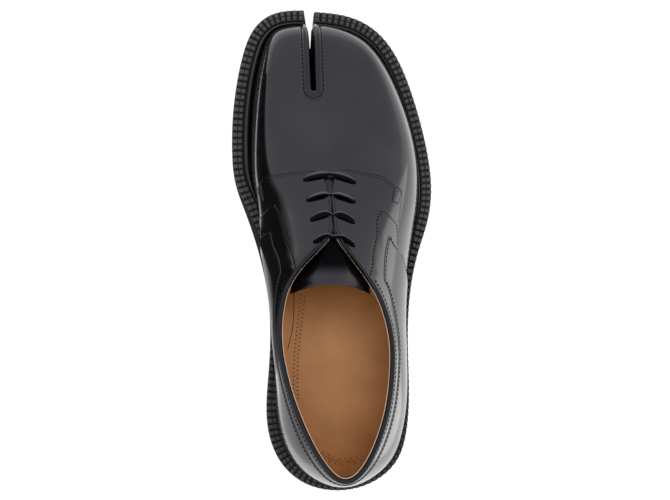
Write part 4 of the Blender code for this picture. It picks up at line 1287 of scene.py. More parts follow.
# Name of the piece: its table, the rows where an edge turns a corner, its height over the skin, how far its
# first edge laps over the panel before it, how far its second edge is tucked under the next, and the size of
# its cells.
PANELS = {
    "facing_medial": (FACING_MEDIAL, (3, 4), 0.7, 0.0, 2.5, 0.5),
    "facing_lateral": (FACING_LATERAL, (3, 4), 0.7, 0.0, 2.5, 0.5),
    "collar_panel": (COLLAR_PANEL, (2, 7, 19, 24), 1.0, 1.7, 2.5, 0.8),
    "counter": (COUNTER, (2, 7, 19, 24), 1.35, 1.7, 0.0, 1.1),
}
# Rows between which the collar panel is pared so thin that only its stitches show, the height there, and
# how far from the edge it is pared.
PARED_ROWS = ((2.0, 7.0), (19.0, 24.0))
PARED_HEIGHT = 0.76
PARED_REACH = 12.0
EDGE_DISTANCES = (0.0, 0.08, 0.2, 0.4, 0.65, 0.95, 1.3, 1.7, 2.2, 2.9)
EDGE_ROUND = 0.6
SKIVED_SHARE = 0.5
STITCH_INSET = 1.6
SEAM_SINK = 0.06
SEAM_SINK_WIDTH = 0.5
PANEL_BED = 0.15
limit_stations = np.linspace(FIRST_STATION, LAST_STATION - FIRST_STATION, 2500)
limit_heights = edge_height(limit_stations)

# %% Strips of a panel


def panel_lines(table, corners):
    """Function from the row of a table to station and height on both edges, smooth between the corners."""
    table = np.array(table)
    cuts = [0, *corners, len(table) - 1]
    numbered = np.column_stack([np.arange(len(table)), table])
    parts = [smooth_curve(numbered[a : b + 1]) for a, b in zip(cuts, cuts[1:])]

    def at(row):
        row = np.asarray(row, float)
        part = np.clip(np.searchsorted(cuts, row, side="right") - 1, 0, len(parts) - 1)
        made = np.zeros(row.shape + (4,))
        for i, curve in enumerate(parts):
            made[part == i] = curve(row[part == i])
        return made

    return at


def across_panel(lines, row, share):
    """Station and height at a share of the way from the first edge to the second."""
    places = lines(row)
    share = np.asarray(share, float)
    w, t = mix(places[..., 0], places[..., 2], share), mix(places[..., 1], places[..., 3], share)
    return w, np.minimum(t, 0.998 * np.interp(w, limit_stations, limit_heights))


def panel_width(lines, row):
    marks = [skin_point(*across_panel(lines, row, share)) for share in (0.0, 0.25, 0.5, 0.75, 1.0)]
    return sum(np.linalg.norm(b - a, axis=-1) for a, b in zip(marks, marks[1:]))


def panel_rows(lines, count, step):
    """Rows of the table, with more between them, so that strips stand about a step apart."""
    rows = np.linspace(0, count - 1, 40 * count)
    edges = [skin_point(*across_panel(lines, rows, share)) for share in (0.0, 1.0)]
    pace = [np.linalg.norm(np.diff(edge, axis=0), axis=1) for edge in edges]
    run = np.concatenate([[0], np.cumsum(np.maximum(*pace))])
    whole = np.interp(np.arange(count), rows, run)
    cells = np.maximum(1, (np.diff(whole) / step).astype(int))
    made = [np.linspace(k, k + 1, n + 1)[:-1] for k, n in enumerate(cells)]
    return np.concatenate(made + [[count - 1]])


# %% Cut and lay the panels


def panel_grid(name):
    """The outer and inner grid of a panel, with its edges rounded and its seam lines pulled in."""
    table, corners, height, lap, tuck, step = PANELS[name]
    lines = panel_lines(table, corners)
    rows = panel_rows(lines, len(table), step)
    width = panel_width(lines, rows)
    near = np.array(EDGE_DISTANCES)
    squeeze = np.minimum(1.0, width / (2.5 * near[-1]))
    edge = near[None, :] * squeeze[:, None]
    first = (edge - lap) / width[:, None]
    second = (edge - tuck) / width[:, None]
    middle_cells = max(2, int(np.max(width) / step))
    middle = np.linspace(0, 1, middle_cells + 1)[1:-1]
    between = mix(first[:, -1:], 1 - second[:, -1:], middle[None, :])
    shares = np.concatenate([first, between, 1 - second[:, ::-1]], 1)
    w, t = across_panel(lines, np.repeat(rows[:, None], shares.shape[1], 1), shares)
    points, normals = skin_point(w, t), skin_normal(w, t)
    run = run_along(points.mean(1))
    from_first = shares * width[:, None] + lap
    sides = np.minimum(from_first, (1 - shares) * width[:, None] + tuck)
    ends = np.minimum(run, run[-1] - run)[:, None]
    inside = 1 - np.clip(np.minimum(sides, ends) / EDGE_ROUND, 0, 1)
    rounded = mix(SKIVED_SHARE, 1.0, np.sqrt(1 - inside**2))
    seam = SEAM_SINK * np.exp(-(((sides - STITCH_INSET) / SEAM_SINK_WIDTH) ** 2))
    top = np.full_like(sides, height)
    if name == "collar_panel":
        pared = sum(ease(2 * (rows - a)) * ease(2 * (b - rows)) for a, b in PARED_ROWS)[:, None]
        top -= (height - PARED_HEIGHT) * pared * (1 - ease(from_first / PARED_REACH))
    outer = points + normals * (top * rounded - seam)[..., None]
    inner = points - normals * PANEL_BED
    return outer, inner, lines


panel_maps = {}
for name in PANELS:
    outer, inner, panel_maps[name] = panel_grid(name)
    keep = punch([outer, inner], PUNCH_RADIUS) if name.startswith("facing") else None
    panel = outward_sheet(outer, inner, keep)
    show(name + "_dressed", panel, BLACK_LEATHER, "upper_leather", name, sharp=60)

# %% [markdown]
# ## Folded collar
# The top edge of the collar is folded over and closed, so it shows as a round dark roll some three
# millimetres wide, with the pale edge of the lining inside it. A curve with a bevel could follow it,
# but the roll should lean with the leather, so its section is drawn in the leather's own normal and rib
# direction.

# %% Roll of the collar
FOLD_RADIUS = 1.45
FOLD_HEIGHT = 0.985
FOLD_OFFSET = 0.42
FOLD_ANGLES = np.radians(np.linspace(-60, 195, 15))
fold_w = even_stations(THROAT_TOP + 0.05, LAST_STATION - THROAT_TOP - 0.05, 1.2, 1.4)
fold_normal = skin_normal(fold_w, FOLD_HEIGHT)
fold_up = unit(skin_point(fold_w, 1.0) - skin_point(fold_w, 0.97))
fold_middle = skin_point(fold_w, FOLD_HEIGHT) + fold_normal * FOLD_OFFSET
fold_taper = np.minimum(1.0, 0.55 + np.minimum(fold_w - fold_w[0], fold_w[-1] - fold_w) / 0.25)
fold_ring = [
    fold_middle + FOLD_RADIUS * fold_taper[:, None] * (fold_normal * math.cos(a) + fold_up * math.sin(a))
    for a in FOLD_ANGLES
]
fold_core = [fold_middle - 0.2 * fold_up + 0.02 * fold_normal * math.cos(a) for a in FOLD_ANGLES]
fold_mesh = sheet(np.stack(fold_ring, 1), np.stack(fold_core, 1))
show("collar_fold", fold_mesh, BINDING, "upper_leather")

# %% [markdown]
# ## Tongue
# The tongue is sewn under the vamp and lies free under the facings. It is one piece of leather, domed
# over the instep, with a rounded end that shows in the collar. The table gives its middle line, half
# its width and how far its sides droop; under the facings it is pressed a little lower, to leave room
# for the lace.

# %% The tongue
TONGUE = (
    (0.0, 47.0, -8.0, 66.1, 15.0, 6.5),
    (1.0, 36.0, -6.9, 72.1, 18.0, 8.5),
    (2.0, 26.0, -6.2, 77.6, 19.0, 9.5),
    (3.0, 16.0, -6.0, 82.8, 20.0, 13.5),
    (4.0, 7.0, -5.9, 86.0, 20.5, 16.0),
    (5.0, -2.0, -6.2, 89.4, 21.0, 18.5),
    (6.0, -10.0, -6.6, 94.4, 21.5, 20.5),
    (7.0, -20.7, -7.0, 98.4, 22.5, 20.0),
)
TONGUE_THICKNESS = 2.0
TONGUE_DROOP_POWER = 1.8
TONGUE_END_SWEEP = 6.0
TONGUE_PRESS = 3.2
PRESS_FROM = 0.25
PRESS_FADE = 0.3
PRESS_BACK_Y = -18.0
PRESS_RUN = 12.0
TONGUE_EDGE_ROUND = 1.1
TONGUE_EDGE_SHARE = 0.45
TONGUE_ROW_LENGTH = 10.0
TONGUE_LAST_ROW = len(TONGUE) - 1
TONGUE_GRID = (130, 81)
tongue_line = smooth_curve(TONGUE)
tongue_places = np.linspace(0, TONGUE_LAST_ROW, TONGUE_GRID[0])
place, across = np.meshgrid(tongue_places, np.linspace(-1, 1, TONGUE_GRID[1]), indexing="ij")
mid_y, mid_x, mid_z, half_width, droop = np.moveaxis(tongue_line(place), -1, 0)
back_share = ease((TONGUE[0][1] - mid_y) / (TONGUE[0][1] - TONGUE[-1][1]))
press = TONGUE_PRESS * ease((np.abs(across) - PRESS_FROM) / PRESS_FADE)
press = press * ease((mid_y - PRESS_BACK_Y) / PRESS_RUN)
tongue_top = np.stack([
    mid_x + half_width * across,
    mid_y - TONGUE_END_SWEEP * across**2 * back_share,
    mid_z - droop * np.abs(across) ** TONGUE_DROOP_POWER - press,
], -1)
tongue_normal = unit(np.cross(np.gradient(tongue_top, axis=1), np.gradient(tongue_top, axis=0)))
side_room = (1 - np.abs(across)) * half_width
end_room = np.minimum(place, TONGUE_LAST_ROW - place) * TONGUE_ROW_LENGTH
tongue_edge = 1 - np.clip(np.minimum(side_room, end_room) / TONGUE_EDGE_ROUND, 0, 1)
rounding = tongue_normal * (TONGUE_EDGE_SHARE * TONGUE_THICKNESS * tongue_edge**2)[..., None]
tongue_low = tongue_top - tongue_normal * TONGUE_THICKNESS + rounding
tongue_top = tongue_top - rounding

# %% Shine of the tongue
# Dullest and brightest gloss; where the light end and the light front begin, and how softly.
TONGUE_SHINE = (0.02, 0.65)
TONGUE_END_LIGHT = (-9.0, 8.0)
TONGUE_FRONT_LIGHT = (22.0, 8.0)
FRONT_LIGHT_SHARE = 0.8
# The light end is a little off the middle: how far, half its width, how much it widens, and its soft edge.
END_LIGHT_SHIFT = 0.03
END_LIGHT_HALF = 0.1
END_LIGHT_WIDEN = 0.2
END_LIGHT_FADE = 0.4
near_end = ease((TONGUE_END_LIGHT[0] - mid_y) / TONGUE_END_LIGHT[1])
from_end_light = np.abs(across + END_LIGHT_SHIFT) - END_LIGHT_HALF - END_LIGHT_WIDEN * near_end
near_end = near_end * (1 - ease(from_end_light / END_LIGHT_FADE))
near_front = ease((mid_y - TONGUE_FRONT_LIGHT[0]) / TONGUE_FRONT_LIGHT[1])
tongue_shine = np.tile(mix(*TONGUE_SHINE, np.maximum(near_end, FRONT_LIGHT_SHARE * near_front)).ravel(), 2)
tongue_mesh = outward_sheet(tongue_top, tongue_low)
show("tongue_dressed", tongue_mesh, TONGUE_LEATHER, "upper_leather", "tongue", sharp=60, shade=tongue_shine)

# %% [markdown]
# ## Lace
# One waxed cord closes the shoe. It runs straight across in four bars, goes down through a hole at the
# end of each bar, and on to the next row between the facing and the tongue, where nobody sees it. Both
# ends stop under the top holes. The route is a list of points on the leather, smoothed to one curve,
# and the cord is a tube whose frame is carried along the curve without twisting. A curve object with a
# round bevel would give the same tube, but not the flattened section of a cord under tension.

# %% Route of the lace
LACE_WIDTH = 4.0
LACE_NECK = 0.62
LACE_PINCH = 0.3
LACE_HEIGHT = 2.2
LACE_BOW = 0.09
LACE_DIP = 2.4
LACE_DIP_SHARE = 0.34
LACE_SUNK = 0.9
BAR_MARKS = np.linspace(0.06, 0.94, 13)
FACING_HEIGHT = PANELS["facing_medial"][2]
UNDER_LINING = WALL + 0.2 + LACE_HEIGHT / 2


def hole_route(hole, heights):
    return [lift_off(hole[0], hole[1], h) for h in heights]


def bar_route(medial, lateral, dip):
    """Points over the facings from the medial to the lateral hole, bowed towards the toe.
    The cord dips where it crosses the closed throat."""
    lift = FACING_HEIGHT + 0.15 + LACE_HEIGHT / 2
    route = []
    for share in BAR_MARKS:
        q = mix(medial[0], LAST_STATION - lateral[0], share) - LACE_BOW * math.sin(math.pi * share)
        if share < 0.5:
            w, t = q, mix(medial[1], 1.0, 2 * share)
        else:
            w, t = LAST_STATION - q, mix(1.0, lateral[1], 2 * share - 1)
        from_throat = abs(2 * share - 1)
        sunk = LACE_SUNK * from_throat**6 + dip * (1 - ease(from_throat / LACE_DIP_SHARE))
        route.append(lift_off(w, t, lift - sunk))
    return route


def hidden_route(first, second):
    """Points under the facing from one hole to the next."""
    return [lift_off(*mix(np.array(first), np.array(second), s), -UNDER_LINING) for s in (0.25, 0.5, 0.75)]


DIVE = (FACING_HEIGHT - 0.2, FACING_HEIGHT - 1.6, -0.6, -UNDER_LINING + 0.3)
lace_route, bar_spans = [], []
for row in range(4):
    ends = [HOLES_MEDIAL[row], HOLES_LATERAL[row]]
    bar = bar_route(*ends, LACE_DIP if row else 0.0)
    if row % 2:
        ends, bar = ends[::-1], bar[::-1]
    bar_spans.append((len(lace_route) + len(DIVE) - 1, len(lace_route) + len(DIVE) + len(bar)))
    lace_route += hole_route(ends[0], DIVE[::-1]) + bar + hole_route(ends[1], DIVE)
    if row < 3:
        side = HOLES_LATERAL if row % 2 == 0 else HOLES_MEDIAL
        lace_route += hidden_route(side[row], side[row + 1])
lace_route = np.array(lace_route)
print(f"lace through {len(LACE_HOLES)} holes, {len(lace_route)} points")

# %% The lace's cord
LACE_SIDES = 20
LACE_STEP = 0.45
# The braid: how many strands go round, how deep they show, and how far they turn in a millimetre.
STRANDS = 5
STRAND_DEPTH = 0.035
STRAND_TURN = 2.6
lace_run = run_along(lace_route)
lace_curve = smooth_curve(np.column_stack([lace_run, lace_route]))
lace_places = np.linspace(0, lace_run[-1], int(lace_run[-1] / LACE_STEP))
lace_path = lace_curve(lace_places)
lace_along = unit(np.gradient(lace_path, axis=0))
lace_up = np.zeros_like(lace_path)
bar_start = np.argmin(np.linalg.norm(lace_path - lace_route[len(DIVE) + len(BAR_MARKS) // 2], axis=1))
lace_up[bar_start] = skin_normal(HOLES_MEDIAL[0][0], 0.99)
for order in (range(bar_start + 1, len(lace_path)), range(bar_start - 1, -1, -1)):
    for i in order:
        before = lace_up[i - 1] if i > bar_start else lace_up[i + 1]
        lace_up[i] = unit(before - lace_along[i] * np.dot(before, lace_along[i]))
lace_side = np.cross(lace_along, lace_up)
angles = np.linspace(0, 2 * math.pi, LACE_SIDES, endpoint=False)
round_cord = STRANDS * angles[None, :]
along_cord = lace_places[:, None] * STRAND_TURN
strand = 1 + STRAND_DEPTH * np.cos(round_cord + along_cord) * np.cos(round_cord - along_cord)

# %% Section of the cord
# Pulled over the hole and pinched in the closed throat, the cord is slim; half-way between it spreads.
lace_spread = np.full(len(lace_places), LACE_NECK)
for first, last in bar_spans:
    on_bar = (lace_places >= lace_run[first]) & (lace_places <= lace_run[last])
    share = (lace_places[on_bar] - lace_run[first]) / (lace_run[last] - lace_run[first])
    from_throat = np.abs(2 * share - 1)
    slim = mix(LACE_PINCH, LACE_NECK, from_throat)
    lace_spread[on_bar] = mix(slim, 1.0, np.sin(math.pi * from_throat) ** 0.7)
cord_half = LACE_WIDTH / 2 * lace_spread[:, None]
cord_rise = LACE_HEIGHT / 2
sideways = lace_side[:, None] * (np.cos(angles) * strand * cord_half)[..., None]
upwards = lace_up[:, None] * (np.sin(angles) * strand * cord_rise)[..., None]
lace_points = (lace_path[:, None] + sideways + upwards).reshape(-1, 3)
lace_faces = ring_faces(len(lace_path), LACE_SIDES)
lace_faces.append(tuple(range(LACE_SIDES)))
lace_faces.append(tuple(range(len(lace_points) - LACE_SIDES, len(lace_points)))[::-1])

# %% Painted highlight on the cord
# A painted highlight: the cord's colour is lighter along the edge that faces the toe.
# The dark tone of the cord, and the tone of its painted highlight.
LACE_TONES = ((0.0025, 0.0025, 0.0028), (0.13, 0.13, 0.14))
HIGHLIGHT_FROM = 0.35
HIGHLIGHT_FADE = 0.4
lace_normal = unit(
    lace_side[:, None] * (np.cos(angles) / cord_half)[..., None]
    + lace_up[:, None] * (np.sin(angles) / cord_rise)[None, :, None]
)
lace_painted_highlight = ease((lace_normal[..., 1] - HIGHLIGHT_FROM) / HIGHLIGHT_FADE)
LACE_CORD = matt_black("lace cord", LACE_TONES[0], 0.28, 1200, 0.00003)
colour_from_points(LACE_CORD, LACE_TONES)
set_gloss(LACE_CORD, 0.05)
bars = ("lace_bar_1", "lace_bar_2", "lace_bar_3", "lace_bar_4")
show("lace", (lace_points, lace_faces), LACE_CORD, "lace_cord", *bars, shade=lace_painted_highlight)
print(f"lace {lace_run[-1]:.0f} mm long")

# %% [markdown]
# ## Stitches
# Every panel is sewn down with a fine thread, two or three millimetres to the stitch. On polished
# leather the thread lies in its own small trough and hardly shows; what the eye reads as a dotted line
# are the needle holes between the stitches. So a row is made of two joined meshes: tapered capsules for
# the thread, and small dark ovals for the holes, which are painted shade: flat and matt black where the
# shade in each hole would be. A dashed line in a texture would lie dead flat on the polish.

# %% Helpers for rows of stitches
STITCH_RINGS = ((-1.0, 0.05), (-0.8, 0.62), (-0.4, 0.95), (0.4, 0.95), (0.8, 0.62), (1.0, 0.05))
STITCH_SIDES = 6
HOLE_SIDES = 10


def resample(points, step):
    """Places along a line of points, a step apart, with the line's direction there and their share of it."""
    run = run_along(points)
    count = max(1, int(run[-1] / step))
    marks = (np.arange(count) + 0.5) * run[-1] / count
    along = unit(np.gradient(points, run, axis=0))
    pick = [np.interp(marks, run, column) for column in np.concatenate([points, along], 1).T]
    return np.stack(pick[:3], -1), unit(np.stack(pick[3:6], -1)), marks / run[-1]


def frames_along(points, normals, pitch):
    """Middle, along, side and up of each stitch in a row."""
    middles, along, shares = resample(points, pitch)
    up = np.stack([np.interp(shares, np.linspace(0, 1, len(normals)), column) for column in normals.T], -1)
    up = unit(up - along * np.sum(up * along, -1, keepdims=True))
    return middles, along, np.cross(along, up), up


def repeat(template, faces, frames):
    """Copies of one small shape, one in each frame."""
    middles, along, side, up = frames
    template, faces = np.asarray(template, float), np.asarray(faces)
    moved = [axis[:, None] * template[None, :, i : i + 1] for i, axis in enumerate((along, side, up))]
    made = middles[:, None] + sum(moved)
    starts = np.arange(len(middles)) * len(template)
    return made.reshape(-1, 3), (faces[None] + starts[:, None, None]).reshape(-1, faces.shape[1])


def thread_shape(length, width):
    """A capsule whose ends dip into the leather."""
    turn = np.linspace(0, 2 * math.pi, STITCH_SIDES, endpoint=False)
    points = [
        (x * length / 2, r * math.cos(a) * width / 2, r * math.sin(a) * width * 0.4 - 0.1 * width * x * x)
        for x, r in STITCH_RINGS
        for a in turn
    ]
    return points, ring_faces(len(STITCH_RINGS), STITCH_SIDES)


def hole_shape(length, width):
    """A flat oval."""
    turn = np.linspace(0, 2 * math.pi, HOLE_SIDES, endpoint=False)
    points = [(0.5 * length * math.cos(a), 0.5 * width * math.sin(a), 0.0) for a in turn]
    return points, [tuple(range(HOLE_SIDES))]


# %% Seams on the panels
THREAD_LIFT = 0.03


def seam_on_panel(name, edge, inset, first_row, last_row):
    """A line on a panel, an inset away from its first or second edge."""
    lines = panel_maps[name]
    rows = np.linspace(first_row, last_row, 240)
    width = panel_width(lines, rows)
    share = (inset - PANELS[name][3]) / width if edge == 1 else 1 - inset / width
    return seam_on_skin(*across_panel(lines, rows, share), PANELS[name][2])


def seam_across_panel(name, row, first_share, last_share):
    """A line across a panel, along one row of its table."""
    shares = np.linspace(first_share, last_share, 60)
    return seam_on_skin(*across_panel(panel_maps[name], np.full(60, row), shares), PANELS[name][2])


def seam_on_skin(w, t, height):
    normals = skin_normal(w, t)
    return skin_point(w, t) + normals * (height + THREAD_LIFT), normals


def patch_line(points, height):
    """A line on the leather through a few stations and heights."""
    points = np.asarray(points, float)
    share = np.linspace(0, 1, 40)
    marks = np.linspace(0, 1, len(points))
    return seam_on_skin(np.interp(share, marks, points[:, 0]), np.interp(share, marks, points[:, 1]), height)


# %% Tables of the seams
# Sizes of a stitch: pitch, length and width of the needle hole.
FINE = (1.7, 0.75, 0.62)
MIDDLE = (2.2, 1.0, 0.8)
BOLD = (2.6, 1.25, 1.1)
TALL = (2.6, 1.35, 1.9)
# Panel, its first or second edge, inset from that edge, first and last row of its table, size of the stitch.
PANEL_SEAMS = (
    ("facing_medial", 1, 1.5, 0.06, 3.95, FINE),
    ("facing_medial", 1, 3.3, 0.1, 3.7, FINE),
    ("facing_medial", 1, 1.6, 4.3, 9.6, FINE),
    ("facing_lateral", 1, 1.5, 0.06, 3.95, FINE),
    ("facing_lateral", 1, 3.3, 0.1, 3.7, FINE),
    ("facing_lateral", 1, 1.6, 4.3, 9.6, FINE),
    ("collar_panel", 1, 1.6, 0.1, 6.9, FINE),
    ("collar_panel", 1, 4.6, 7.2, 18.8, TALL),
    ("collar_panel", 1, 1.6, 19.1, 25.9, MIDDLE),
    ("counter", 1, 1.6, 0.1, 7.0, FINE),
    ("counter", 1, 1.6, 7.0, 18.9, TALL),
    ("counter", 1, 1.6, 18.9, 25.9, BOLD),
    ("counter", 1, 3.4, 0.1, 3.0, FINE),
    ("counter", 1, 3.4, 23.2, 25.9, BOLD),
    ("counter", 2, 1.7, 20.0, 25.9, BOLD),
)
# Panel, row of its table, first and last share across it, size of the stitch.
CROSS_SEAMS = (
    ("facing_lateral", 0.12, 0.03, 0.95, FINE),
    ("facing_medial", 0.12, 0.03, 0.95, FINE),
    ("collar_panel", 25.85, 0.05, 0.9, MIDDLE),
    ("collar_panel", 0.15, 0.05, 0.9, FINE),
)

# %% [markdown]
# ## Corner patch
# Behind the front corner of the lateral facing a small square of leather is sewn on, where the lace
# pulls hardest. A bump could draw it, but its rim has to catch the light, so it is a thin sheet of its
# own, laid on the facing between four corners.

# %% The corner patch
CORNER_PATCH = ((13.224, 0.610), (13.018, 0.622), (12.976, 0.556), (13.166, 0.545))
PATCH_POINTS = 18
PATCH_HEIGHT = 0.25
PATCH_THICKNESS = 0.5
PATCH_RIM = 0.1
patch_marks = np.linspace(0, 1, PATCH_POINTS)
patch_u, patch_v = np.meshgrid(patch_marks, patch_marks, indexing="ij")
patch_corners = np.array(CORNER_PATCH)
patch_front = mix(patch_corners[0], patch_corners[1], patch_u[..., None])
patch_back = mix(patch_corners[3], patch_corners[2], patch_u[..., None])
patch_places = mix(patch_front, patch_back, patch_v[..., None])
patch_rim = np.minimum(np.minimum(patch_u, 1 - patch_u), np.minimum(patch_v, 1 - patch_v))
patch_lift = FACING_HEIGHT + PATCH_HEIGHT * ease(patch_rim / PATCH_RIM)
patch_up = skin_normal(patch_places[..., 0], patch_places[..., 1])
patch_top = skin_point(patch_places[..., 0], patch_places[..., 1]) + patch_up * patch_lift[..., None]
patch_mesh = outward_sheet(patch_top, patch_top - patch_up * PATCH_THICKNESS)
show("corner_patch", patch_mesh, BLACK_LEATHER, "upper_leather")

# %% Sew the seams
# The bar tack is a short run of close stitches on the medial side.
BAR_TACK = ((3.50, 0.432), (3.768, 0.418), (3.768, 0.406), (3.52, 0.412))
TACK_PITCH = 1.0
TACK_WIDTH = 0.8
TACK_LENGTH = 1.3
TACK_LIFT = 0.1
LIP_SEAM_LIFT = 0.2
THREAD_SHARE = 0.6
THREAD_WIDTH = 0.3
seams = [(seam_on_panel(*seam), size) for *seam, size in PANEL_SEAMS]
seams += [(seam_across_panel(*seam), size) for *seam, size in CROSS_SEAMS]
patch_sides = zip(CORNER_PATCH, CORNER_PATCH[1:])
seams += [(patch_line(pair, FACING_HEIGHT + PATCH_HEIGHT), FINE) for pair in patch_sides]
seams += [((skin_out[lip_rows, -1] + lip_normal * LIP_SEAM_LIFT, lip_normal), BOLD)]
threads, holes = [], []
for (line, normals), (pitch, length, width) in seams:
    middles, along, side, up = frames_along(line, normals, pitch)
    holes.append(repeat(*hole_shape(length, width), (middles, along, side, up)))
    between = middles + along * pitch / 2
    threads.append(repeat(*thread_shape(THREAD_SHARE * pitch, THREAD_WIDTH), (between, along, side, up)))
tack_frames = frames_along(*patch_line(BAR_TACK, FACING_HEIGHT + TACK_LIFT), TACK_PITCH)
threads.append(repeat(*thread_shape(TACK_LENGTH * TACK_PITCH, TACK_WIDTH), tack_frames))
show("upper_stitches", join(*threads), BLACK_LEATHER, "upper_leather")
show("needle_hole_shade", join(*holes), NEEDLE_HOLE_SHADE, "upper_leather")

# %% [markdown]
# ## Zigzag on the insole
# The sock of tan leather is sewn down with a zigzag along the medial side and in an arc across the
# heel. The thread sinks in, so from above it shows as rows of small dark dots. Each run is a few points
# listed on the insole, and a loop steps from one side of the line to the other. The arch pad
# under the sock shows as one fine line, so a narrow strip is laid along its edge.

# %% Zigzag stitches
ZIGZAG_MEDIAL = ((0, -19.5, -28.0), (1, -22.6, -52.0), (2, -24.4, -74.0), (3, -24.2, -93.0))
ZIGZAG_HEEL = ((0, -10.0, -125.4), (1, -3.0, -129.8), (2, 6.0, -131.6), (3, 14.0, -130.2), (4, 20.3, -127.0))
# Where the needle goes from stitch to stitch, in millimetres to the side of the line.
SWING_MEDIAL = (-1.3, 1.3)
SWING_HEEL = (-1.8, 0.0, 1.8, 0.0)
STEP_MEDIAL, STEP_HEEL = 1.25, 0.95
HOLE_MEDIAL, HOLE_HEEL = 0.95, 0.7
ZIGZAG_THREAD = 0.22
ZIGZAG_POINTS = 200
ZIGZAG_LIFT = 0.03


def zigzag(table, swing, step):
    """Frames of the holes and of the threads between them."""
    line = smooth_curve(table)(np.linspace(0, len(table) - 1, ZIGZAG_POINTS))
    middles, along, _ = resample(np.column_stack([line, np.zeros(ZIGZAG_POINTS)]), step)
    sideways = np.resize(swing, len(middles))
    corners = middles + np.cross([0.0, 0.0, 1.0], along) * sideways[:, None]
    corners[:, 2] = feather_z(corners[:, 1]) + INSOLE_THICKNESS + ZIGZAG_LIFT
    up = np.tile([0.0, 0.0, 1.0], (len(corners), 1))
    run = np.diff(corners, axis=0)
    ahead = unit(run)
    thread_frames = ((corners[:-1] + corners[1:]) / 2, ahead, np.cross(ahead, up[:-1]), up[:-1])
    return (corners, along, np.cross(along, up), up), thread_frames, np.linalg.norm(run, axis=1).mean()


# The holes are painted shade: flat dark ovals where the thread sinks in.
sock_holes, sock_threads = [], []
zigzags = (
    (ZIGZAG_MEDIAL, SWING_MEDIAL, STEP_MEDIAL, HOLE_MEDIAL),
    (ZIGZAG_HEEL, SWING_HEEL, STEP_HEEL, HOLE_HEEL),
)
for *run, hole in zigzags:
    hole_frames, thread_frames, length = zigzag(*run)
    sock_holes.append(repeat(*hole_shape(hole, hole), hole_frames))
    sock_threads.append(repeat(*thread_shape(length, ZIGZAG_THREAD), thread_frames))

# %% Edge of the arch pad
# The pad's edge is painted shade: a narrow dark strip along the line where the pad raises the sock.
PAD_EDGE = ((0, -25.2, -24.0), (1, -25.6, -36.0), (2, -26.6, -49.0), (3, -29.6, -62.0))
PAD_EDGE_WIDTH = 0.45
PAD_POINTS = 60
PAD_LIFT = 0.02
pad_line = smooth_curve(PAD_EDGE)(np.linspace(0, len(PAD_EDGE) - 1, PAD_POINTS))
pad_height = feather_z(pad_line[:, 1]) + INSOLE_THICKNESS + PAD_LIFT
pad_sides = [np.column_stack([pad_line + np.array([off, 0.0]), pad_height]) for off in (0.0, PAD_EDGE_WIDTH)]
pad_faces = [(i, PAD_POINTS + i, PAD_POINTS + i + 1, i + 1) for i in range(PAD_POINTS - 1)]
pad_strip = (np.concatenate(pad_sides), pad_faces)
show("insole_hole_shade", join(*sock_holes, pad_strip), SOCK_HOLE_SHADE, "insole_leather")
show("insole_stitches", join(*sock_threads), BROWN_THREAD, "insole_leather")

# %% [markdown]
# ## Studio
# The photograph is taken from straight above, on white, in soft light from all round. Polished black
# leather shows little but its surroundings, so the studio is built for what it mirrors: an even white
# room for the top of the vamp, a floor that glows a little for the bright walls, and a dark card beside
# the inner wall, which leaves the long black band there and fades out upwards. A light card on the
# outer side and a grey one behind set the tones of the walls. The cards are seen only in the polish.

# %% Floor


def stage_mesh(name, points, faces, colour, glow=0.0):
    """A piece of the studio, which may glow a little."""
    mesh = bpy.data.meshes.new(name)
    mesh.from_pydata([tuple(map(float, point)) for point in points], [], faces)
    finish, _, shader = new_finish(name, colour, 0.9)
    shader.inputs["Emission Color"].default_value = (1, 1, 1, 1)
    shader.inputs["Emission Strength"].default_value = glow
    mesh.materials.append(finish)
    card = bpy.data.objects.new(name, mesh)
    bpy.context.scene.collection.objects.link(card)
    card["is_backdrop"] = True
    return card


FLOOR_HALF = 3.0
FLOOR_GLOW = 0.98
FLOOR_COLOUR = (0.14, 0.14, 0.13)
floor_corners = [(FLOOR_HALF * x, FLOOR_HALF * y) for x, y in ((-1, -1), (1, -1), (1, 1), (-1, 1))]
stage_mesh("floor", [(x, y, 0.0) for x, y in floor_corners], [(0, 1, 2, 3)], FLOOR_COLOUR, FLOOR_GLOW)

# %% Dark card
CARD_BLACK = (0.004, 0.004, 0.004)


def mirror_card(name, lines, colour, glow=0.0):
    """A card of strips between lines of points in millimetres, seen only in the polish."""
    count = len(lines[0])
    faces = [
        (k * count + i, k * count + i + 1, (k + 1) * count + i + 1, (k + 1) * count + i)
        for k in range(len(lines) - 1)
        for i in range(count - 1)
    ]
    card = stage_mesh(name, np.concatenate(lines) * MM, faces, colour, glow)
    card.visible_camera = False
    card.visible_diffuse = False
    card.visible_shadow = False


MIRROR_X = -81.9
CARD_INSET = 7.0
CARD_BACK_Y = -85.0
CARD_FADE = 55.0
# Place along the shoe, and how far from the sole's edge the dark card begins there.
CARD_NEAR = ((-30.0, 45.0), (-7.0, 40.0), (3.0, 2.0), (10.0, 2.0), (18.0, 9.0))
NEAR_STEPS_Y = 4.0
NEAR_STEPS_FADE = 12.0
# Share of that way from which strips of the floor glow, and how much, behind the middle of the shoe.
NEAR_STEPS = ((0.06, 0.5), (0.3, 0.42), (0.55, 0.25), (0.8, 0.1), (1.0, 0.0))
# Place along the shoe, and up to which share of the upper's height the card is black, and then fades.
CARD_RISE = ((24.0, 1.12, 1.2), (33.0, 0.6, 0.99), (42.0, 0.57, 0.96), (54.0, 0.74, 0.9), (100.0, 0.78, 0.88))
FADE_GLOWS = (0.15, 0.35, 0.6)
card_s = np.linspace(EDGE_LENGTHS[1], EDGE_HEEL, 120)
card_s = card_s[EDGE(card_s)[:, 1] > CARD_BACK_Y]
edge_y = EDGE(card_s)[:, 1]


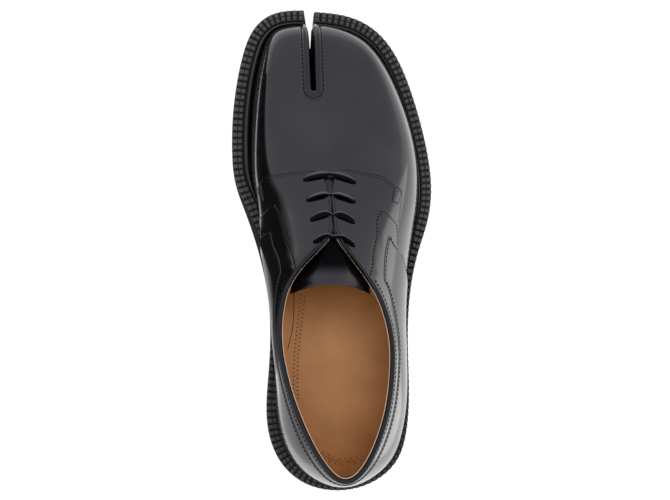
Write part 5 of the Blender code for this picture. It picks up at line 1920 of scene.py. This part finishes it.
def near_line(share):
    """A line on the floor along the sole's edge, at a share of the way to the dark card."""
    behind = ease((NEAR_STEPS_Y - edge_y) / NEAR_STEPS_FADE)
    reach = np.interp(edge_y, *zip(*CARD_NEAR)) * mix(1.0, share, behind)
    return np.column_stack([edge_point(card_s, -reach), np.ones(len(card_s))])


for (share, glow), (end, _) in zip(NEAR_STEPS, NEAR_STEPS[1:]):
    mirror_card(f"near strip at {share}", [near_line(share), near_line(end)], CARD_BLACK, glow)
card_far = edge_point(card_s, CARD_INSET)
card_far[:, 0] = 2 * MIRROR_X - card_far[:, 0]
card_y, black_rise, fade_rise = zip(*CARD_RISE)
black_share = np.interp(card_far[:, 1], card_y, black_rise)
fade_share = np.interp(card_far[:, 1], card_y, fade_rise)


def card_line(share):
    """A level line of the card, from its black part at 0 to the end of its fade at 1."""
    rise = top_point(station_at(card_s))[:, 2] * mix(black_share, fade_share, share)
    rise = 1 + (rise - 1) * ease((card_far[:, 1] - CARD_BACK_Y) / CARD_FADE)
    return np.column_stack([card_far, rise])


far_line = np.column_stack([card_far, np.ones(len(card_far))])
mirror_card("dark card", [near_line(1.0), far_line, card_line(0.0)], CARD_BLACK)
for step, glow in enumerate(FADE_GLOWS):
    fade_lines = [card_line((step + end) / len(FADE_GLOWS)) for end in (0, 1)]
    mirror_card(f"fading card {step + 1}", fade_lines, CARD_BLACK, glow)

# %% Light and grey cards
CARD_GREY = (0.1, 0.1, 0.1)
LIGHT_NEAR = ((85.0, -300.0), (85.0, -110.0), (190.0, 50.0), (190.0, 80.0))
LIGHT_FAR_X = 700.0
# Height up to which a card beyond the floor's light glows, and how much, from the bottom up.
LIGHT_STEPS = ((0.0, 2.2), (45.0, 1.7), (95.0, 1.3), (150.0, 1.05))
light_near = np.array([(x, y, 1.0) for x, y in LIGHT_NEAR])
light_far = light_near * np.array([0.0, 1.0, 1.0]) + np.array([LIGHT_FAR_X, 0.0, 0.0])
mirror_card("light card", [light_near, light_far], CARD_GREY, LIGHT_STEPS[0][1])
for (low, glow), (high, _) in zip(LIGHT_STEPS, LIGHT_STEPS[1:]):
    step_lines = [light_far + np.array([0.0, 0.0, height]) for height in (low, high)]
    mirror_card(f"light card up to {high:.0f}", step_lines, CARD_GREY, glow)

GREY_SIDES = (-58.0, -500.0)
GREY_ENDS = (-175.0, -60.0)
GREY_Z = 0.7
GREY_GLOW = 0.6
grey_lines = [np.array([(x, y, GREY_Z) for y in GREY_ENDS]) for x in GREY_SIDES]
mirror_card("grey card", grey_lines, CARD_GREY, GREY_GLOW)
print("floor and cards placed")

# %% White room
ROOM_STRENGTH = 0.9
ROOM_COLOUR = (0.96, 0.965, 1.07, 1)
room = bpy.data.worlds.new("white room")
room.use_nodes = True
room.node_tree.nodes["Background"].inputs["Color"].default_value = ROOM_COLOUR
room.node_tree.nodes["Background"].inputs["Strength"].default_value = ROOM_STRENGTH
bpy.context.scene.world = room
bpy.context.scene.view_settings.view_transform = "Standard"

# %% [markdown]
# ## Camera
# The camera hangs a metre above the floor, to the medial side of this shoe, as in the photograph, so
# the shoe is seen a little from its inner side. It looks straight at the middle of the shoe, with the
# toe up.

# %% Camera
CAMERA_PLACE = Vector((-0.0819, -0.00075, 1.0))
CAMERA_LENS = 84.5
SENSOR_WIDTH = 36.0
AIM = Vector((0.0, -0.0005, 0.03))
camera_data = bpy.data.cameras.new("camera")
camera_data.lens = CAMERA_LENS
camera_data.sensor_width = SENSOR_WIDTH
camera = bpy.data.objects.new("camera", camera_data)
camera.location = CAMERA_PLACE
back = (CAMERA_PLACE - AIM).normalized()
right = Vector((0.0, 1.0, 0.0)).cross(back).normalized()
camera.rotation_euler = Matrix((right, back.cross(right), back)).transposed().to_euler()
bpy.context.scene.collection.objects.link(camera)
bpy.context.scene.camera = camera
print(f"camera {CAMERA_PLACE.z:.2f} m above the floor")

# %% [markdown]
# ## Size
# The dressed shoe has to keep the size of the solids; its box is printed in millimetres.

# %% Measure the dressed shoe and finish
low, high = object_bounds()
print("visual box in mm:", [round(1000 * v, 1) for v in high - low])
